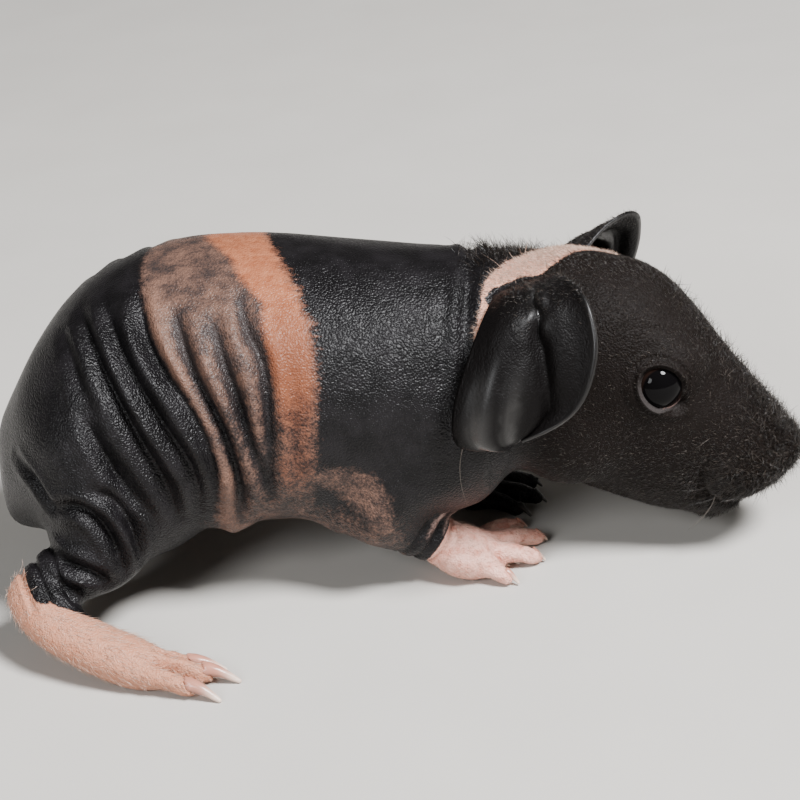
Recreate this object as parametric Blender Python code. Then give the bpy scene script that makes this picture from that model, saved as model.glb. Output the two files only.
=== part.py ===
"""A young hairless guinea pig, life size, standing with its right hind leg stretched back.

The animal faces +X and its left side is +Y. The flesh is modelled whole from turned
masses, then parted with thin cuts into head, neck, torso, legs and feet. Ears, eyes and
claws are pieces of their own. All lengths are in metres.
"""

import math

import bmesh
import bpy
import numpy as np
from mathutils import Matrix, Vector

MM = 0.001
GAP = 0.3 * MM

# Flesh resolution: the grid that fuses the masses, and the triangles left afterwards.
GRID = 0.62 * MM
FLESH_TRIANGLES = 8200

# Trunk rings from rump to neck: x, height of the centre, half width, rise above and drop
# below the centre, all in millimetres.
TRUNK = [
    (-62.4, 17.0, 0.0, 0.0, 0.0),
    (-61.4, 17.0, 7.6, 7.6, 7.2),
    (-58.4, 20.0, 13.4, 11.0, 11.0),
    (-52.0, 24.4, 18.4, 16.0, 15.0),
    (-43.0, 27.6, 21.4, 20.2, 17.8),
    (-32.0, 29.8, 22.6, 21.4, 19.6),
    (-20.0, 30.2, 22.6, 21.2, 20.6),
    (-8.0, 29.6, 21.2, 20.0, 19.6),
    (3.0, 29.2, 19.0, 19.0, 17.6),
    (11.0, 29.4, 16.6, 18.4, 15.6),
    (15.0, 29.6, 15.4, 17.2, 14.2),
    (20.0, 30.0, 14.8, 16.6, 13.0),
    (27.0, 30.0, 13.4, 13.6, 11.0),
    (32.0, 30.0, 9.0, 9.0, 8.0),
    (34.0, 30.0, 0.0, 0.0, 0.0),
]

# The head has its own frame: its origin is in the middle of the skull's back, x runs to
# the nose, and the whole is pitched down, turned to the right and tipped a little over.
HEAD_PLACE = Vector((24.0, 0.0, 31.0)) * MM
HEAD_PITCH = math.radians(33)
HEAD_YAW = math.radians(-8)
HEAD_ROLL = math.radians(-5)

# Head rings from the occiput to the nose, in the head's frame, as for the trunk.
HEAD = [
    (-13.0, 1.5, 0.0, 0.0, 0.0),
    (-12.0, 1.5, 6.5, 7.0, 7.0),
    (-8.0, 1.0, 11.6, 12.6, 11.0),
    (-2.0, 1.0, 13.6, 15.4, 14.8),
    (5.0, 1.0, 14.0, 17.4, 17.0),
    (11.0, 1.0, 13.2, 16.6, 17.0),
    (19.0, 0.5, 11.2, 14.0, 15.2),
    (26.0, 0.0, 9.4, 11.6, 12.8),
    (31.0, -0.3, 8.2, 10.2, 9.4),
    (35.0, 0.4, 7.2, 8.2, 6.4),
    (37.6, 2.0, 6.0, 5.8, 4.6),
    (39.4, 3.2, 4.2, 3.5, 3.0),
    (40.2, 3.6, 0.0, 0.0, 0.0),
]

# Soft bulges in the head's frame, one for each side: centre and radii in millimetres.
HEAD_BULGES = {
    "cheek": ((6.0, 8.6, -5.6), (9.5, 6.4, 9.5)),
    "brow": ((13.0, 7.6, 11.4), (6.5, 3.6, 3.2)),
    "whisker_pad": ((33.4, 4.4, 0.8), (4.8, 4.0, 4.8)),
    "nose_wing": ((38.0, 2.0, 5.0), (2.5, 2.6, 2.6)),
    "lower_lip": ((30.6, 1.4, -7.6), (3.8, 3.4, 3.0)),
}

# Shoulders and haunches, one for each side, in the body's frame.
BODY_BULGES = {
    "shoulder": ((7.0, 11.0, 25.0), (11.0, 8.4, 13.5)),
    "haunch": ((-41.0, 12.5, 23.0), (16.0, 10.5, 15.0)),
}

# Limbs: joints in the body's frame and the radius of the flesh there, in millimetres.
# side is -1 for the right of the body and 1 for its left. A toe has its root in the sole,
# its tip on the floor and its radius. The cut is the rounded patch, centre and radii, by
# which the leg meets the torso.
LEGS = {
    "front_right": {
        "side": -1,
        "limb": [((6, -12, 25), 7.5), ((-1.6, -15.0, 17.6), 6.2), ((-2.6, -14.6, 13.4), 4.8),
                 ((2.0, -12.6, 8.8), 3.8), ((5.8, -10.8, 5.8), 3.6)],
        "palm": [((6.4, -10.6, 4.2), 3.7), ((9.2, -9.4, 2.8), 3.7), ((11.4, -8.4, 2.2), 2.9)],
        "palm_half_width": 1.6,
        "toes": [((10.8, -4.4, 2.3), (16.4, 0.4), 1.5), ((12.2, -6.8, 2.4), (19.4, -3.8), 1.65),
                 ((12.2, -10.0, 2.4), (18.8, -9.6), 1.65), ((9.8, -12.6, 2.2), (14.6, -15.2), 1.5)],
        "cut": ((0.6, -14.6, 15.4), (10.2, 7.6, 11.0)),
    },
    "front_left": {
        "side": 1,
        "limb": [((7, 12, 25), 7.5), ((1.0, 14.4, 16.8), 6.2), ((0.2, 13.4, 12.2), 4.8),
                 ((3.6, 11.8, 8.0), 3.8), ((6.4, 11.0, 5.4), 3.6)],
        "palm": [((7.0, 11.0, 4.4), 3.6), ((9.8, 10.8, 2.8), 3.6), ((11.8, 10.8, 2.1), 2.8)],
        "palm_half_width": 1.5,
        "toes": [((11.2, 7.0, 2.3), (16.8, 4.4), 1.5), ((12.6, 9.4, 2.4), (19.4, 8.4), 1.65),
                 ((12.4, 12.4, 2.4), (18.8, 13.4), 1.65), ((10.2, 14.8, 2.2), (14.8, 17.8), 1.5)],
        "cut": ((2.6, 13.8, 14.8), (10.2, 7.6, 11.0)),
    },
    "hind_right": {
        "side": -1,
        "limb": [((-44, -12, 28), 11.5), ((-43.0, -17.0, 20.0), 9.0), ((-43.0, -20.6, 14.2), 6.2),
                 ((-48.2, -22.2, 11.8), 5.0), ((-53.0, -23.0, 10.2), 4.0)],
        "palm": [((-55.2, -23.8, 9.4), 3.4), ((-51.4, -28.8, 7.2), 3.4), ((-45.6, -32.2, 5.0), 3.4),
                 ((-39.0, -34.6, 2.9), 3.4), ((-35.6, -35.6, 2.0), 2.8)],
        "palm_half_width": 1.2,
        "toes": [((-36.4, -33.4, 2.2), (-30.6, -33.6), 1.45), ((-36.8, -35.4, 2.6), (-28.4, -36.3), 1.75),
                 ((-37.2, -37.4, 2.3), (-30.4, -39.8), 1.6)],
        "cut": ((-45.2, -20.4, 16.0), (13.4, 11.6, 13.0)),
    },
    "hind_left": {
        "side": 1,
        "limb": [((-40, 12, 28), 11.5), ((-37.0, 16.0, 19.6), 9.0), ((-35.0, 18.6, 13.4), 6.4),
                 ((-41.0, 19.2, 10.4), 5.0), ((-46.6, 19.6, 8.0), 4.1)],
        "palm": [((-49.6, 19.6, 6.2), 4.1), ((-42.5, 20.6, 4.6), 3.8), ((-34.0, 21.8, 3.4), 3.7),
                 ((-28.0, 22.6, 2.6), 3.4), ((-25.4, 23.0, 1.9), 2.8)],
        "palm_half_width": 1.2,
        "toes": [((-28.2, 20.4, 2.2), (-20.8, 19.0), 1.55), ((-28.6, 22.8, 2.6), (-18.8, 23.2), 1.75),
                 ((-28.2, 25.0, 2.3), (-21.4, 27.2), 1.6)],
        "cut": ((-39.6, 18.4, 15.2), (13.4, 10.6, 13.0)),
    },
}
GLOVE = 1.3 * MM
CLAW_LENGTH = {"front": 1.4 * MM, "hind": 3.3 * MM}
CLAW_RADIUS = {"front": 0.62 * MM, "hind": 1.0 * MM}
CLAW_TIP_HEIGHT = 0.6 * MM

# Neck cuts: a point on each, and its normal towards the nose.
SHOULDER_CUT = (Vector((7.0, 0.0, 30.0)) * MM, Vector((0.97, 0.0, 0.25)))
NAPE_CUT = (Vector((17.0, 0.0, 30.0)) * MM, Vector((0.99, 0.0, -0.10)))

# Eyes, in the head's frame: the ball's centre for the left eye, where it looks, and the
# opening between the lids, half its width and half its height.
EYE_RADIUS = 4.3 * MM
EYE_CENTRE = Vector((13.3, 8.9, 6.9)) * MM
EYE_LOOK = Vector((0.24, 0.94, 0.24)).normalized()
LID_THICKNESS = 0.95 * MM
LID_OPENING = (3.25 * MM, 2.85 * MM)
LID_TILT = math.radians(-16)

# Ears, in the head's frame, mirrored for the right one: the line from root to tip, half
# the width at the root and further out, the way from the back margin to the front one, and
# how far the lobe behind the fold swells.
EARS = {
    -1: {
        "line": [(-10.0, 7.0, 9.6), (-9.6, 12.2, 11.0), (-8.2, 18.0, 10.2), (-5.9, 21.1, 5.8),
                 (-3.9, 22.2, 0.4), (-2.4, 22.1, -4.0), (-1.4, 21.5, -6.8)],
        "halves": (5.2, 10.5),
        "across": Vector((0.65, 0.02, 0.76)).normalized(),
        "lobe": 1.0,
    },
    1: {
        "line": [(-5.4, 7.0, 9.2), (-2.6, 12.4, 11.4), (1.0, 17.6, 11.4), (2.6, 20.0, 6.8), (3.8, 20.8, 1.4),
                 (4.4, 20.6, -2.8), (4.6, 20.2, -5.4)],
        "halves": (4.8, 8.4),
        "across": Vector((0.45, 0.02, 0.89)).normalized(),
        "lobe": 0.6,
    },
}
EAR_FOLD = 2.4 * MM
EAR_THICKNESS = 1.0 * MM

# Grooves between the rolls of loose skin on a flank, as x and z from the back down to the
# groin, with their depth, all in millimetres.
FLANK_GROOVES = [
    ([(-45.0, 38.0), (-40.6, 31.4), (-36.6, 22.0)], 0.45),
    ([(-49.0, 44.6), (-43.2, 38.4), (-37.6, 28.0), (-34.4, 17.0)], 0.6),
    ([(-46.4, 46.4), (-40.3, 41.0), (-35.2, 31.3), (-31.0, 19.0)], 0.85),
    ([(-43.0, 48.4), (-38.0, 45.0), (-33.0, 36.7), (-28.4, 21.0)], 0.9),
    ([(-38.6, 48.6), (-32.1, 43.1), (-27.4, 35.6), (-25.4, 22.0)], 0.8),
    ([(-35.0, 49.4), (-31.0, 42.6), (-26.4, 35.0), (-24.2, 27.0)], 0.8),
    ([(-31.2, 48.6), (-26.8, 40.4), (-23.4, 30.6), (-22.6, 18.0)], 0.9),
    ([(-23.6, 44.6), (-20.8, 36.0), (-20.0, 25.6)], 0.6),
    ([(-18.8, 46.6), (-16.8, 38.0), (-17.0, 28.0), (-17.6, 18.0)], 0.5),
]
GROOVE_WIDTH = 1.15 * MM

# Grooves between the folds that hang over a hind knee, in three dimensions.
KNEE_GROOVES = [
    ([(-50.7, -20.4, 20.1), (-45.5, -23.0, 20.4), (-41.3, -25.1, 17.6), (-39.8, -26.2, 13.0)], 0.8),
    ([(-44.9, -22.5, 24.4), (-39.8, -24.3, 22.0), (-37.2, -25.8, 17.6), (-37.0, -25.4, 12.0)], 0.7),
    ([(-52.6, -22.4, 15.8), (-48.0, -26.3, 13.2), (-43.6, -26.7, 10.6)], 0.7),
]


def clear_scene():
    """Remove what the file opened with."""
    for obj in list(bpy.data.objects):
        bpy.data.objects.remove(obj)


def spline(rows, count):
    """Catmull-Rom through the rows, as an array of count rows."""
    rows = np.asarray(rows, float)
    padded = np.vstack([2 * rows[0] - rows[1], rows, 2 * rows[-1] - rows[-2]])
    out = []
    for u in np.linspace(0, len(rows) - 1, count):
        i = min(int(u), len(rows) - 2)
        t = u - i
        a, b, c, d = padded[i : i + 4]
        out.append(0.5 * (2 * b + (c - a) * t + (2 * a - 5 * b + 4 * c - d) * t**2
                          + (3 * b - a - 3 * c + d) * t**3))
    return np.array(out)


def mesh_object(name, points, faces):
    """A mesh object from points and faces, its normals facing out."""
    mesh = bpy.data.meshes.new(name)
    mesh.from_pydata([tuple(p) for p in points], [], faces)
    bm = bmesh.new()
    bm.from_mesh(mesh)
    bmesh.ops.remove_doubles(bm, verts=bm.verts, dist=0.01 * MM)
    bmesh.ops.recalc_face_normals(bm, faces=bm.faces)
    bm.to_mesh(mesh)
    bm.free()
    obj = bpy.data.objects.new(name, mesh)
    bpy.context.scene.collection.objects.link(obj)
    return obj


def skin_rings(name, rings):
    """A closed body over a list of rings that hold equally many points."""
    count = len(rings[0])
    points = [p for ring in rings for p in ring]
    faces = []
    for i in range(len(rings) - 1):
        for j in range(count):
            k = (j + 1) % count
            faces.append((i * count + j, i * count + k, (i + 1) * count + k, (i + 1) * count + j))
    faces.append(tuple(range(count))[::-1])
    faces.append(tuple((len(rings) - 1) * count + j for j in range(count)))
    return mesh_object(name, points, faces)


def turned_mass(name, rows, squareness, matrix=None, rings=56, sides=40):
    """A body along x through rings of x, centre, half width, rise and drop in millimetres."""
    loops = []
    for x, centre, half, rise, drop in spline(rows, rings):
        half, rise, drop = (max(v, 0.02) for v in (half, rise, drop))
        loop = []
        for j in range(sides):
            angle = 2 * math.pi * j / sides
            c, s = math.cos(angle), math.sin(angle)
            y = half * math.copysign(abs(c) ** (2 / squareness), c)
            z = (rise if s > 0 else drop) * math.copysign(abs(s) ** (2 / squareness), s)
            loop.append(Vector((x, y, centre + z)) * MM)
        loops.append(loop)
    obj = skin_rings(name, loops)
    if matrix is not None:
        obj.data.transform(matrix)
    return obj


def bulge(name, centre, radii, matrix=None, segments=28, rings=18):
    """An ellipsoid of flesh; centre and radii are in millimetres."""
    bm = bmesh.new()
    bmesh.ops.create_uvsphere(bm, u_segments=segments, v_segments=rings, radius=1)
    bmesh.ops.transform(bm, matrix=Matrix.Diagonal((*(r * MM for r in radii), 1)), verts=bm.verts)
    bmesh.ops.translate(bm, vec=Vector(centre) * MM, verts=bm.verts)
    if matrix is not None:
        bmesh.ops.transform(bm, matrix=matrix, verts=bm.verts)
    mesh = bpy.data.meshes.new(name)
    bm.to_mesh(mesh)
    bm.free()
    obj = bpy.data.objects.new(name, mesh)
    bpy.context.scene.collection.objects.link(obj)
    return obj


def tube(name, stations, count=16, sides=14, flatten=1.0):
    """A round limb through (point, radius) stations in millimetres, with domed ends.

    flatten stretches its section sideways, for palms and soles.
    """
    rows = spline([(*point, radius) for point, radius in stations], count) * MM
    centres = [Vector(r[:3]) for r in rows]
    loops = []
    for i, row in enumerate(rows):
        ahead = centres[min(i + 1, count - 1)] - centres[max(i - 1, 0)]
        ahead.normalize()
        across = ahead.cross(Vector((0, 0, 1))).normalized()
        upward = across.cross(ahead)
        radius = row[3]
        ends = [(0.0, 1.0)]
        if i == 0:
            ends = [(-0.95, 0.3), (-0.7, 0.71), (0.0, 1.0)]
        if i == count - 1:
            ends = [(0.0, 1.0), (0.7, 0.71), (0.95, 0.3)]
        for shift, share in ends:
            loop = []
            for j in range(sides):
                angle = 2 * math.pi * j / sides
                side_step = across * (math.cos(angle) * radius * share * flatten)
                up_step = upward * (math.sin(angle) * radius * share)
                loop.append(centres[i] + ahead * (shift * radius) + side_step + up_step)
            loops.append(loop)
    return skin_rings(name, loops)


def select_only(obj):
    bpy.ops.object.select_all(action="DESELECT")
    obj.select_set(True)
    bpy.context.view_layer.objects.active = obj


def apply_modifier(obj, kind, **settings):
    """Add a modifier of that kind, set it and apply it."""
    modifier = obj.modifiers.new(kind.title(), kind)
    for key, value in settings.items():
        setattr(modifier, key, value)
    select_only(obj)
    bpy.ops.object.modifier_apply(modifier=modifier.name)


def copy_of(obj, name):
    twin = obj.copy()
    twin.data = obj.data.copy()
    twin.name = name
    bpy.context.scene.collection.objects.link(twin)
    return twin


def boolean(obj, cutter, operation, keep_cutter=False):
    """Join, cut or intersect obj with one closed mesh."""
    apply_modifier(obj, "BOOLEAN", operation=operation, object=cutter, solver="EXACT")
    if not keep_cutter:
        bpy.data.objects.remove(cutter)


def keep_largest(obj):
    """Drop every loose scrap but the largest closed surface."""
    bm = bmesh.new()
    bm.from_mesh(obj.data)
    left = set(bm.verts)
    shells = []
    while left:
        seed = left.pop()
        shell = {seed}
        edge_of = [seed]
        while edge_of:
            for edge in edge_of.pop().link_edges:
                for vert in edge.verts:
                    if vert in left:
                        left.discard(vert)
                        shell.add(vert)
                        edge_of.append(vert)
        shells.append(shell)
    shells.sort(key=len, reverse=True)
    for shell in shells[1:]:
        bmesh.ops.delete(bm, geom=list(shell), context="VERTS")
    bm.to_mesh(obj.data)
    bm.free()


def points_of(obj):
    co = np.zeros(len(obj.data.vertices) * 3)
    obj.data.vertices.foreach_get("co", co)
    return co.reshape(-1, 3)


def normals_of(obj):
    normals = np.zeros(len(obj.data.vertices) * 3)
    obj.data.vertices.foreach_get("normal", normals)
    return normals.reshape(-1, 3)


def push_along_normals(obj, heights):
    """Move each vertex along its normal by its height."""
    moved = points_of(obj) + normals_of(obj) * heights[:, None]
    obj.data.vertices.foreach_set("co", moved.ravel())
    obj.data.update()


def smoothstep(low, high, value):
    t = np.clip((value - low) / (high - low), 0, 1)
    return t * t * (3 - 2 * t)


def head_matrix():
    turn = Matrix.Rotation(HEAD_YAW, 4, "Z") @ Matrix.Rotation(HEAD_PITCH, 4, "Y")
    return Matrix.Translation(HEAD_PLACE) @ turn @ Matrix.Rotation(HEAD_ROLL, 4, "X")


def in_head(points):
    """Body points as an array in the head's frame."""
    inverse = np.array(head_matrix().inverted())
    return points @ inverse[:3, :3].T + inverse[:3, 3]


def flesh_masses():
    """Trunk, head, bulges, limbs, palms and toes, overlapping."""
    to_body = head_matrix()
    masses = [turned_mass("trunk", TRUNK, 2.15), turned_mass("skull", HEAD, 2.0, to_body)]
    for side in (-1, 1):
        for name, (centre, radii) in HEAD_BULGES.items():
            place = (centre[0], centre[1] * side, centre[2])
            masses.append(bulge(name, place, radii, to_body))
        lids = (EYE_RADIUS + GAP + LID_THICKNESS) / MM
        place = (EYE_CENTRE.x / MM, EYE_CENTRE.y / MM * side, EYE_CENTRE.z / MM)
        masses.append(bulge("lids", place, (lids, lids, lids), to_body))
        for name, (centre, radii) in BODY_BULGES.items():
            place = (centre[0], centre[1] * side, centre[2])
            masses.append(bulge(name, place, radii))
    for name, leg in LEGS.items():
        masses.append(tube(name + "_limb", leg["limb"]))
        masses.append(tube(name + "_palm", leg["palm"], flatten=leg["palm_half_width"]))
        for root, tip, radius in leg["toes"]:
            masses.append(toe(name, root, tip, radius))
    return masses


def toe(name, root, tip, radius):
    """One toe, from the ball of the foot to where its claw begins, arched over its joint."""
    base = Vector(root)
    end = Vector((tip[0], tip[1], radius * 0.75))
    knuckle = base.lerp(end, 0.5) + Vector((0, 0, 0.7))
    return tube(name + "_toe", [(base, radius * 1.15), (knuckle, radius * 0.96), (end, radius * 0.84)],
                count=7, sides=10)


def fused(masses):
    """One closed skin over all masses, softened where they meet."""
    whole = masses[0]
    bpy.ops.object.select_all(action="DESELECT")
    for mass in masses:
        mass.select_set(True)
    bpy.context.view_layer.objects.active = whole
    bpy.ops.object.join()
    whole.name = "flesh"
    apply_modifier(whole, "REMESH", mode="VOXEL", voxel_size=GRID, adaptivity=0)
    soften(whole)
    return whole


def soften(whole):
    """Smooth strongly over the trunk and only lightly over the face and feet."""
    points = points_of(whole)
    local = in_head(points)
    weight = smoothstep(6 * MM, 15 * MM, points[:, 2])
    face = smoothstep(16 * MM, 26 * MM, local[:, 0]) * (local[:, 2] > -30 * MM) * (points[:, 0] > 30 * MM)
    weight = np.clip(weight * (1 - 0.8 * face) + 0.22 * face, 0.10, 1.0)
    group = whole.vertex_groups.new(name="softness")
    for index, value in enumerate(weight):
        group.add([index], float(value), "REPLACE")
    apply_modifier(whole, "SMOOTH", factor=0.5, iterations=26, vertex_group="softness")
    whole.vertex_groups.clear()


def groove_heights(points, path, width, depth):
    """A groove along a path of points; width and depth are in metres."""
    steps = 24
    fine = spline(np.array(path, float) * MM, steps)
    away = np.linalg.norm(points[:, None, :] - fine[None], axis=2)
    along = np.sin(np.pi * (away.argmin(axis=1) + 0.5) / steps) ** 0.6
    return -depth * along * np.exp(-((away.min(axis=1) / width) ** 2))


def fold_heights(points):
    """Rolls of loose skin between the grooves of both flanks and over the knees."""
    heights = np.zeros(len(points))
    flank = smoothstep(6 * MM, 13 * MM, np.abs(points[:, 1]))
    near = (points[:, 0] < -10 * MM) & (flank > 0)
    for path, depth in FLANK_GROOVES:
        heights[near] += groove_heights(points[near][:, [0, 2]], path, GROOVE_WIDTH, depth * MM)
    heights *= flank
    for path, depth in KNEE_GROOVES:
        heights[near] += groove_heights(points[near], path, GROOVE_WIDTH, depth * MM)
    return heights


def face_heights(local):
    """Mouth line, split of the upper lip and nostrils, in the head's frame."""
    heights = np.zeros(len(local))
    front = local[:, 0] > 22 * MM
    near = local[front]
    total = groove_heights(near, [(39.6, 0, 1.2), (38.6, 0, -1.4), (37.6, 0, -4.0)], 0.7 * MM, 0.8 * MM)
    for side in (-1, 1):
        mouth = [(37.6, 0, -2.8), (36.0, 3.8 * side, -4.0), (32.4, 6.6 * side, -4.8),
                 (28.4, 8.2 * side, -4.6)]
        total += groove_heights(near, mouth, 0.9 * MM, 1.0 * MM)
        nostril = [(40.2, 1.1 * side, 4.4), (39.6, 2.3 * side, 5.3), (38.6, 3.2 * side, 5.2)]
        total += groove_heights(near, nostril, 0.7 * MM, 0.9 * MM)
    heights[front] = total
    return heights


def sculpt(flesh):
    """Folds, lids, mouth and nostrils as moves along the skin's normals."""
    points = points_of(flesh)
    local = in_head(points)
    on_head = smoothstep(15 * MM, 20 * MM, points[:, 0])
    heights = fold_heights(points) + face_heights(local) * on_head
    push_along_normals(flesh, heights)


def thinned(flesh):
    """Fewer, larger faces, most of all on the smooth back, chest and belly."""
    apply_modifier(flesh, "TRIANGULATE")
    points = points_of(flesh)
    plain = smoothstep(46 * MM, 49 * MM, points[:, 2]) * (points[:, 0] < 20 * MM)
    plain = np.maximum(plain, smoothstep(-15 * MM, -10 * MM, points[:, 0]) * (points[:, 0] < 16 * MM))
    plain = np.maximum(plain, points[:, 0] < -50 * MM)
    plain *= smoothstep(8 * MM, 12 * MM, points[:, 2])
    group = flesh.vertex_groups.new(name="plain")
    for index, value in enumerate(plain):
        group.add([index], 0.65 + 0.35 * float(value), "REPLACE")
    share = FLESH_TRIANGLES / len(flesh.data.polygons)
    apply_modifier(flesh, "DECIMATE", ratio=share, vertex_group="plain", vertex_group_factor=1.0)
    flesh.vertex_groups.clear()


def block(name, low, high):
    """A box between two corners given in millimetres."""
    bm = bmesh.new()
    bmesh.ops.create_cube(bm, size=1)
    low, high = Vector(low) * MM, Vector(high) * MM
    bmesh.ops.transform(bm, matrix=Matrix.Diagonal((*(high - low), 1)), verts=bm.verts)
    bmesh.ops.translate(bm, vec=(low + high) / 2, verts=bm.verts)
    mesh = bpy.data.meshes.new(name)
    bm.to_mesh(mesh)
    bm.free()
    obj = bpy.data.objects.new(name, mesh)
    bpy.context.scene.collection.objects.link(obj)
    return obj


def half_space(point, normal):
    """A large block whose face lies on a plane, on the side that the normal points to."""
    reach = 200.0
    obj = block("cutter", (0, -reach, -reach), (reach, reach, reach))
    turn = normal.to_track_quat("X", "Z").to_matrix().to_4x4()
    obj.data.transform(Matrix.Translation(point) @ turn)
    return obj


def behind(obj, cut):
    """Keep what lies behind a cut, short of it by half the gap."""
    point, normal = cut
    normal = normal.normalized()
    boolean(obj, half_space(point - normal * GAP / 2, normal), "DIFFERENCE")


def ahead(obj, cut):
    """Keep what lies ahead of a cut, past it by half the gap."""
    point, normal = cut
    normal = normal.normalized()
    boolean(obj, half_space(point + normal * GAP / 2, -normal), "DIFFERENCE")


def glove(name, leg, grow):
    """The space round one foot, from its heel or wrist to past its toes."""
    swell = (GLOVE + grow) / MM
    parts = [tube("glove", [(p, r + swell) for p, r in leg["palm"]], 8, 12, leg["palm_half_width"])]
    for root, tip, radius in leg["toes"]:
        reach = Vector((tip[0], tip[1], radius))
        reach += (reach - Vector(root)).normalized() * 4
        parts.append(tube("finger", [(root, radius + swell + 0.6), (reach, radius + swell)], 3, 8))
    whole = parts[0]
    for part in parts[1:]:
        boolean(whole, part, "UNION")
    return whole


def thigh(leg, grow):
    """The rounded patch by which a leg meets the torso."""
    centre, radii = leg["cut"]
    grown = grow / MM
    return bulge("thigh", centre, [r + grown for r in radii], segments=20, rings=12)


def part_flesh(flesh):
    """The flesh parted into its named nodes."""
    nodes = {}
    for name, leg in LEGS.items():
        foot = copy_of(flesh, "foot_" + name)
        boolean(foot, glove(name, leg, 0.0), "INTERSECT")
        limb = copy_of(flesh, "leg_" + name)
        boolean(limb, thigh(leg, 0.0), "INTERSECT")
        boolean(limb, glove(name, leg, GAP), "DIFFERENCE")
        boolean(flesh, thigh(leg, GAP), "DIFFERENCE")
        boolean(flesh, glove(name, leg, GAP), "DIFFERENCE")
        for obj in (limb, foot):
            keep_largest(obj)
            nodes[obj.name] = obj
    keep_largest(flesh)
    neck = copy_of(flesh, "neck")
    head = copy_of(flesh, "head")
    flesh.name = "torso"
    behind(flesh, SHOULDER_CUT)
    ahead(neck, SHOULDER_CUT)
    behind(neck, NAPE_CUT)
    ahead(head, NAPE_CUT)
    for obj in (flesh, neck, head):
        keep_largest(obj)
        nodes[obj.name] = obj
    return nodes


def eye(side):
    """One eyeball, a full sphere in its socket."""
    centre = head_matrix() @ Vector((EYE_CENTRE.x, EYE_CENTRE.y * side, EYE_CENTRE.z))
    bm = bmesh.new()
    bmesh.ops.create_uvsphere(bm, u_segments=16, v_segments=10, radius=EYE_RADIUS)
    mesh = bpy.data.meshes.new("eye")
    bm.to_mesh(mesh)
    bm.free()
    obj = bpy.data.objects.new("eye_left" if side > 0 else "eye_right", mesh)
    obj.data.transform(Matrix.Translation(centre))
    bpy.context.scene.collection.objects.link(obj)
    return obj


def socket(head, side):
    """Hollow the head for an eyeball, and open the lids over it."""
    centre = head_matrix() @ Vector((EYE_CENTRE.x, EYE_CENTRE.y * side, EYE_CENTRE.z))
    radius = (EYE_RADIUS + GAP) / MM
    boolean(head, bulge("socket", centre / MM, (radius, radius, radius), segments=16, rings=10), "DIFFERENCE")
    look = head_matrix().to_3x3() @ Vector((EYE_LOOK.x, EYE_LOOK.y * side, EYE_LOOK.z))
    bm = bmesh.new()
    bmesh.ops.create_cone(bm, segments=18, radius1=0.55, radius2=1.6, depth=1, cap_ends=True)
    bmesh.ops.translate(bm, vec=(0, 0, 0.5), verts=bm.verts)
    depth = 2.2 * EYE_RADIUS
    bmesh.ops.scale(bm, vec=(LID_OPENING[0], LID_OPENING[1], depth), verts=bm.verts)
    mesh = bpy.data.meshes.new("opening")
    bm.to_mesh(mesh)
    bm.free()
    opening = bpy.data.objects.new("opening", mesh)
    bpy.context.scene.collection.objects.link(opening)
    turn = look.to_track_quat("Z", "Y").to_matrix().to_4x4()
    slant = Matrix.Rotation(LID_TILT * side, 4, "Z")
    mesh.transform(Matrix.Translation(centre) @ turn @ slant)
    boolean(head, opening, "DIFFERENCE")


def ear(side, across_steps=12, along_steps=11):
    """A cupped, drooping sheet: a convex back lobe, a deep groove and a raised front margin."""
    shape = EARS[side]
    ear_across = np.array(shape["across"])
    line = spline(shape["line"], along_steps + 1) * MM
    root_half, full_half = shape["halves"]
    points, faces = [], []
    for i, centre in enumerate(line):
        t = i / along_steps
        tangent = line[min(i + 1, along_steps)] - line[max(i - 1, 0)]
        outward = np.cross(ear_across, tangent)
        outward /= np.linalg.norm(outward)
        rounded = (1 - max(0.0, (t - 0.6) / 0.405) ** 2.6) ** 0.5
        half = (root_half + (full_half - root_half) * smoothstep(0.05, 0.62, t)) * MM * rounded
        cup = EAR_FOLD * (0.35 + 0.65 * smoothstep(0.0, 0.35, t)) * (1 - 0.7 * smoothstep(0.6, 1.0, t))
        for j in range(across_steps + 1):
            s = -1 + 2 * j / across_steps
            lift = cup * math.cos(math.pi * (s + 0.45) / 0.8)
            if s < -0.05:
                lift *= shape["lobe"]
            place = centre + ear_across * half * s + outward * lift
            points.append((place[0], place[1] * side, place[2]))
    wide = across_steps + 1
    for i in range(along_steps):
        for j in range(across_steps):
            a = i * wide + j
            faces.append((a, a + 1, a + wide + 1))
            faces.append((a, a + wide + 1, a + wide))
    obj = mesh_object("ear_left" if side > 0 else "ear_right", points, faces)
    obj.data.transform(head_matrix())
    apply_modifier(obj, "SOLIDIFY", thickness=EAR_THICKNESS, offset=0)
    return obj


def seat_on(piece, *carriers):
    """Cut a piece back to the surfaces that carry it, short of them by the gap."""
    for carrier in carriers:
        swollen = copy_of(carrier, "swollen")
        push_along_normals(swollen, np.full(len(swollen.data.vertices), GAP))
        boolean(piece, swollen, "DIFFERENCE")
    keep_largest(piece)


def claw(name, leg, index):
    """A tapered, down-curved claw in line with its toe."""
    base, tip, radius = leg["toes"][index]
    kind = name.split("_")[0]
    end = Vector((tip[0], tip[1], radius * 0.75))
    heading = end - Vector(base)
    heading.z = 0
    heading.normalize()
    length, thick = CLAW_LENGTH[kind] / MM, CLAW_RADIUS[kind] / MM
    start = end + heading * (radius * 0.2) + Vector((0, 0, 0.6))
    middle = start + heading * (length * 0.5) + Vector((0, 0, 0.1))
    point = start + heading * (length + radius * 0.5)
    point.z = CLAW_TIP_HEIGHT / MM
    return tube(f"claw_{name}_{index + 1}", [(start, thick), (middle, thick * 0.75), (point, thick * 0.18)],
                count=4, sides=6)


def above_floor(obj):
    """Cut a piece level where it rests on the floor."""
    boolean(obj, block("floor", (-150, -150, -60), (150, 150, 0)), "DIFFERENCE")


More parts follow.
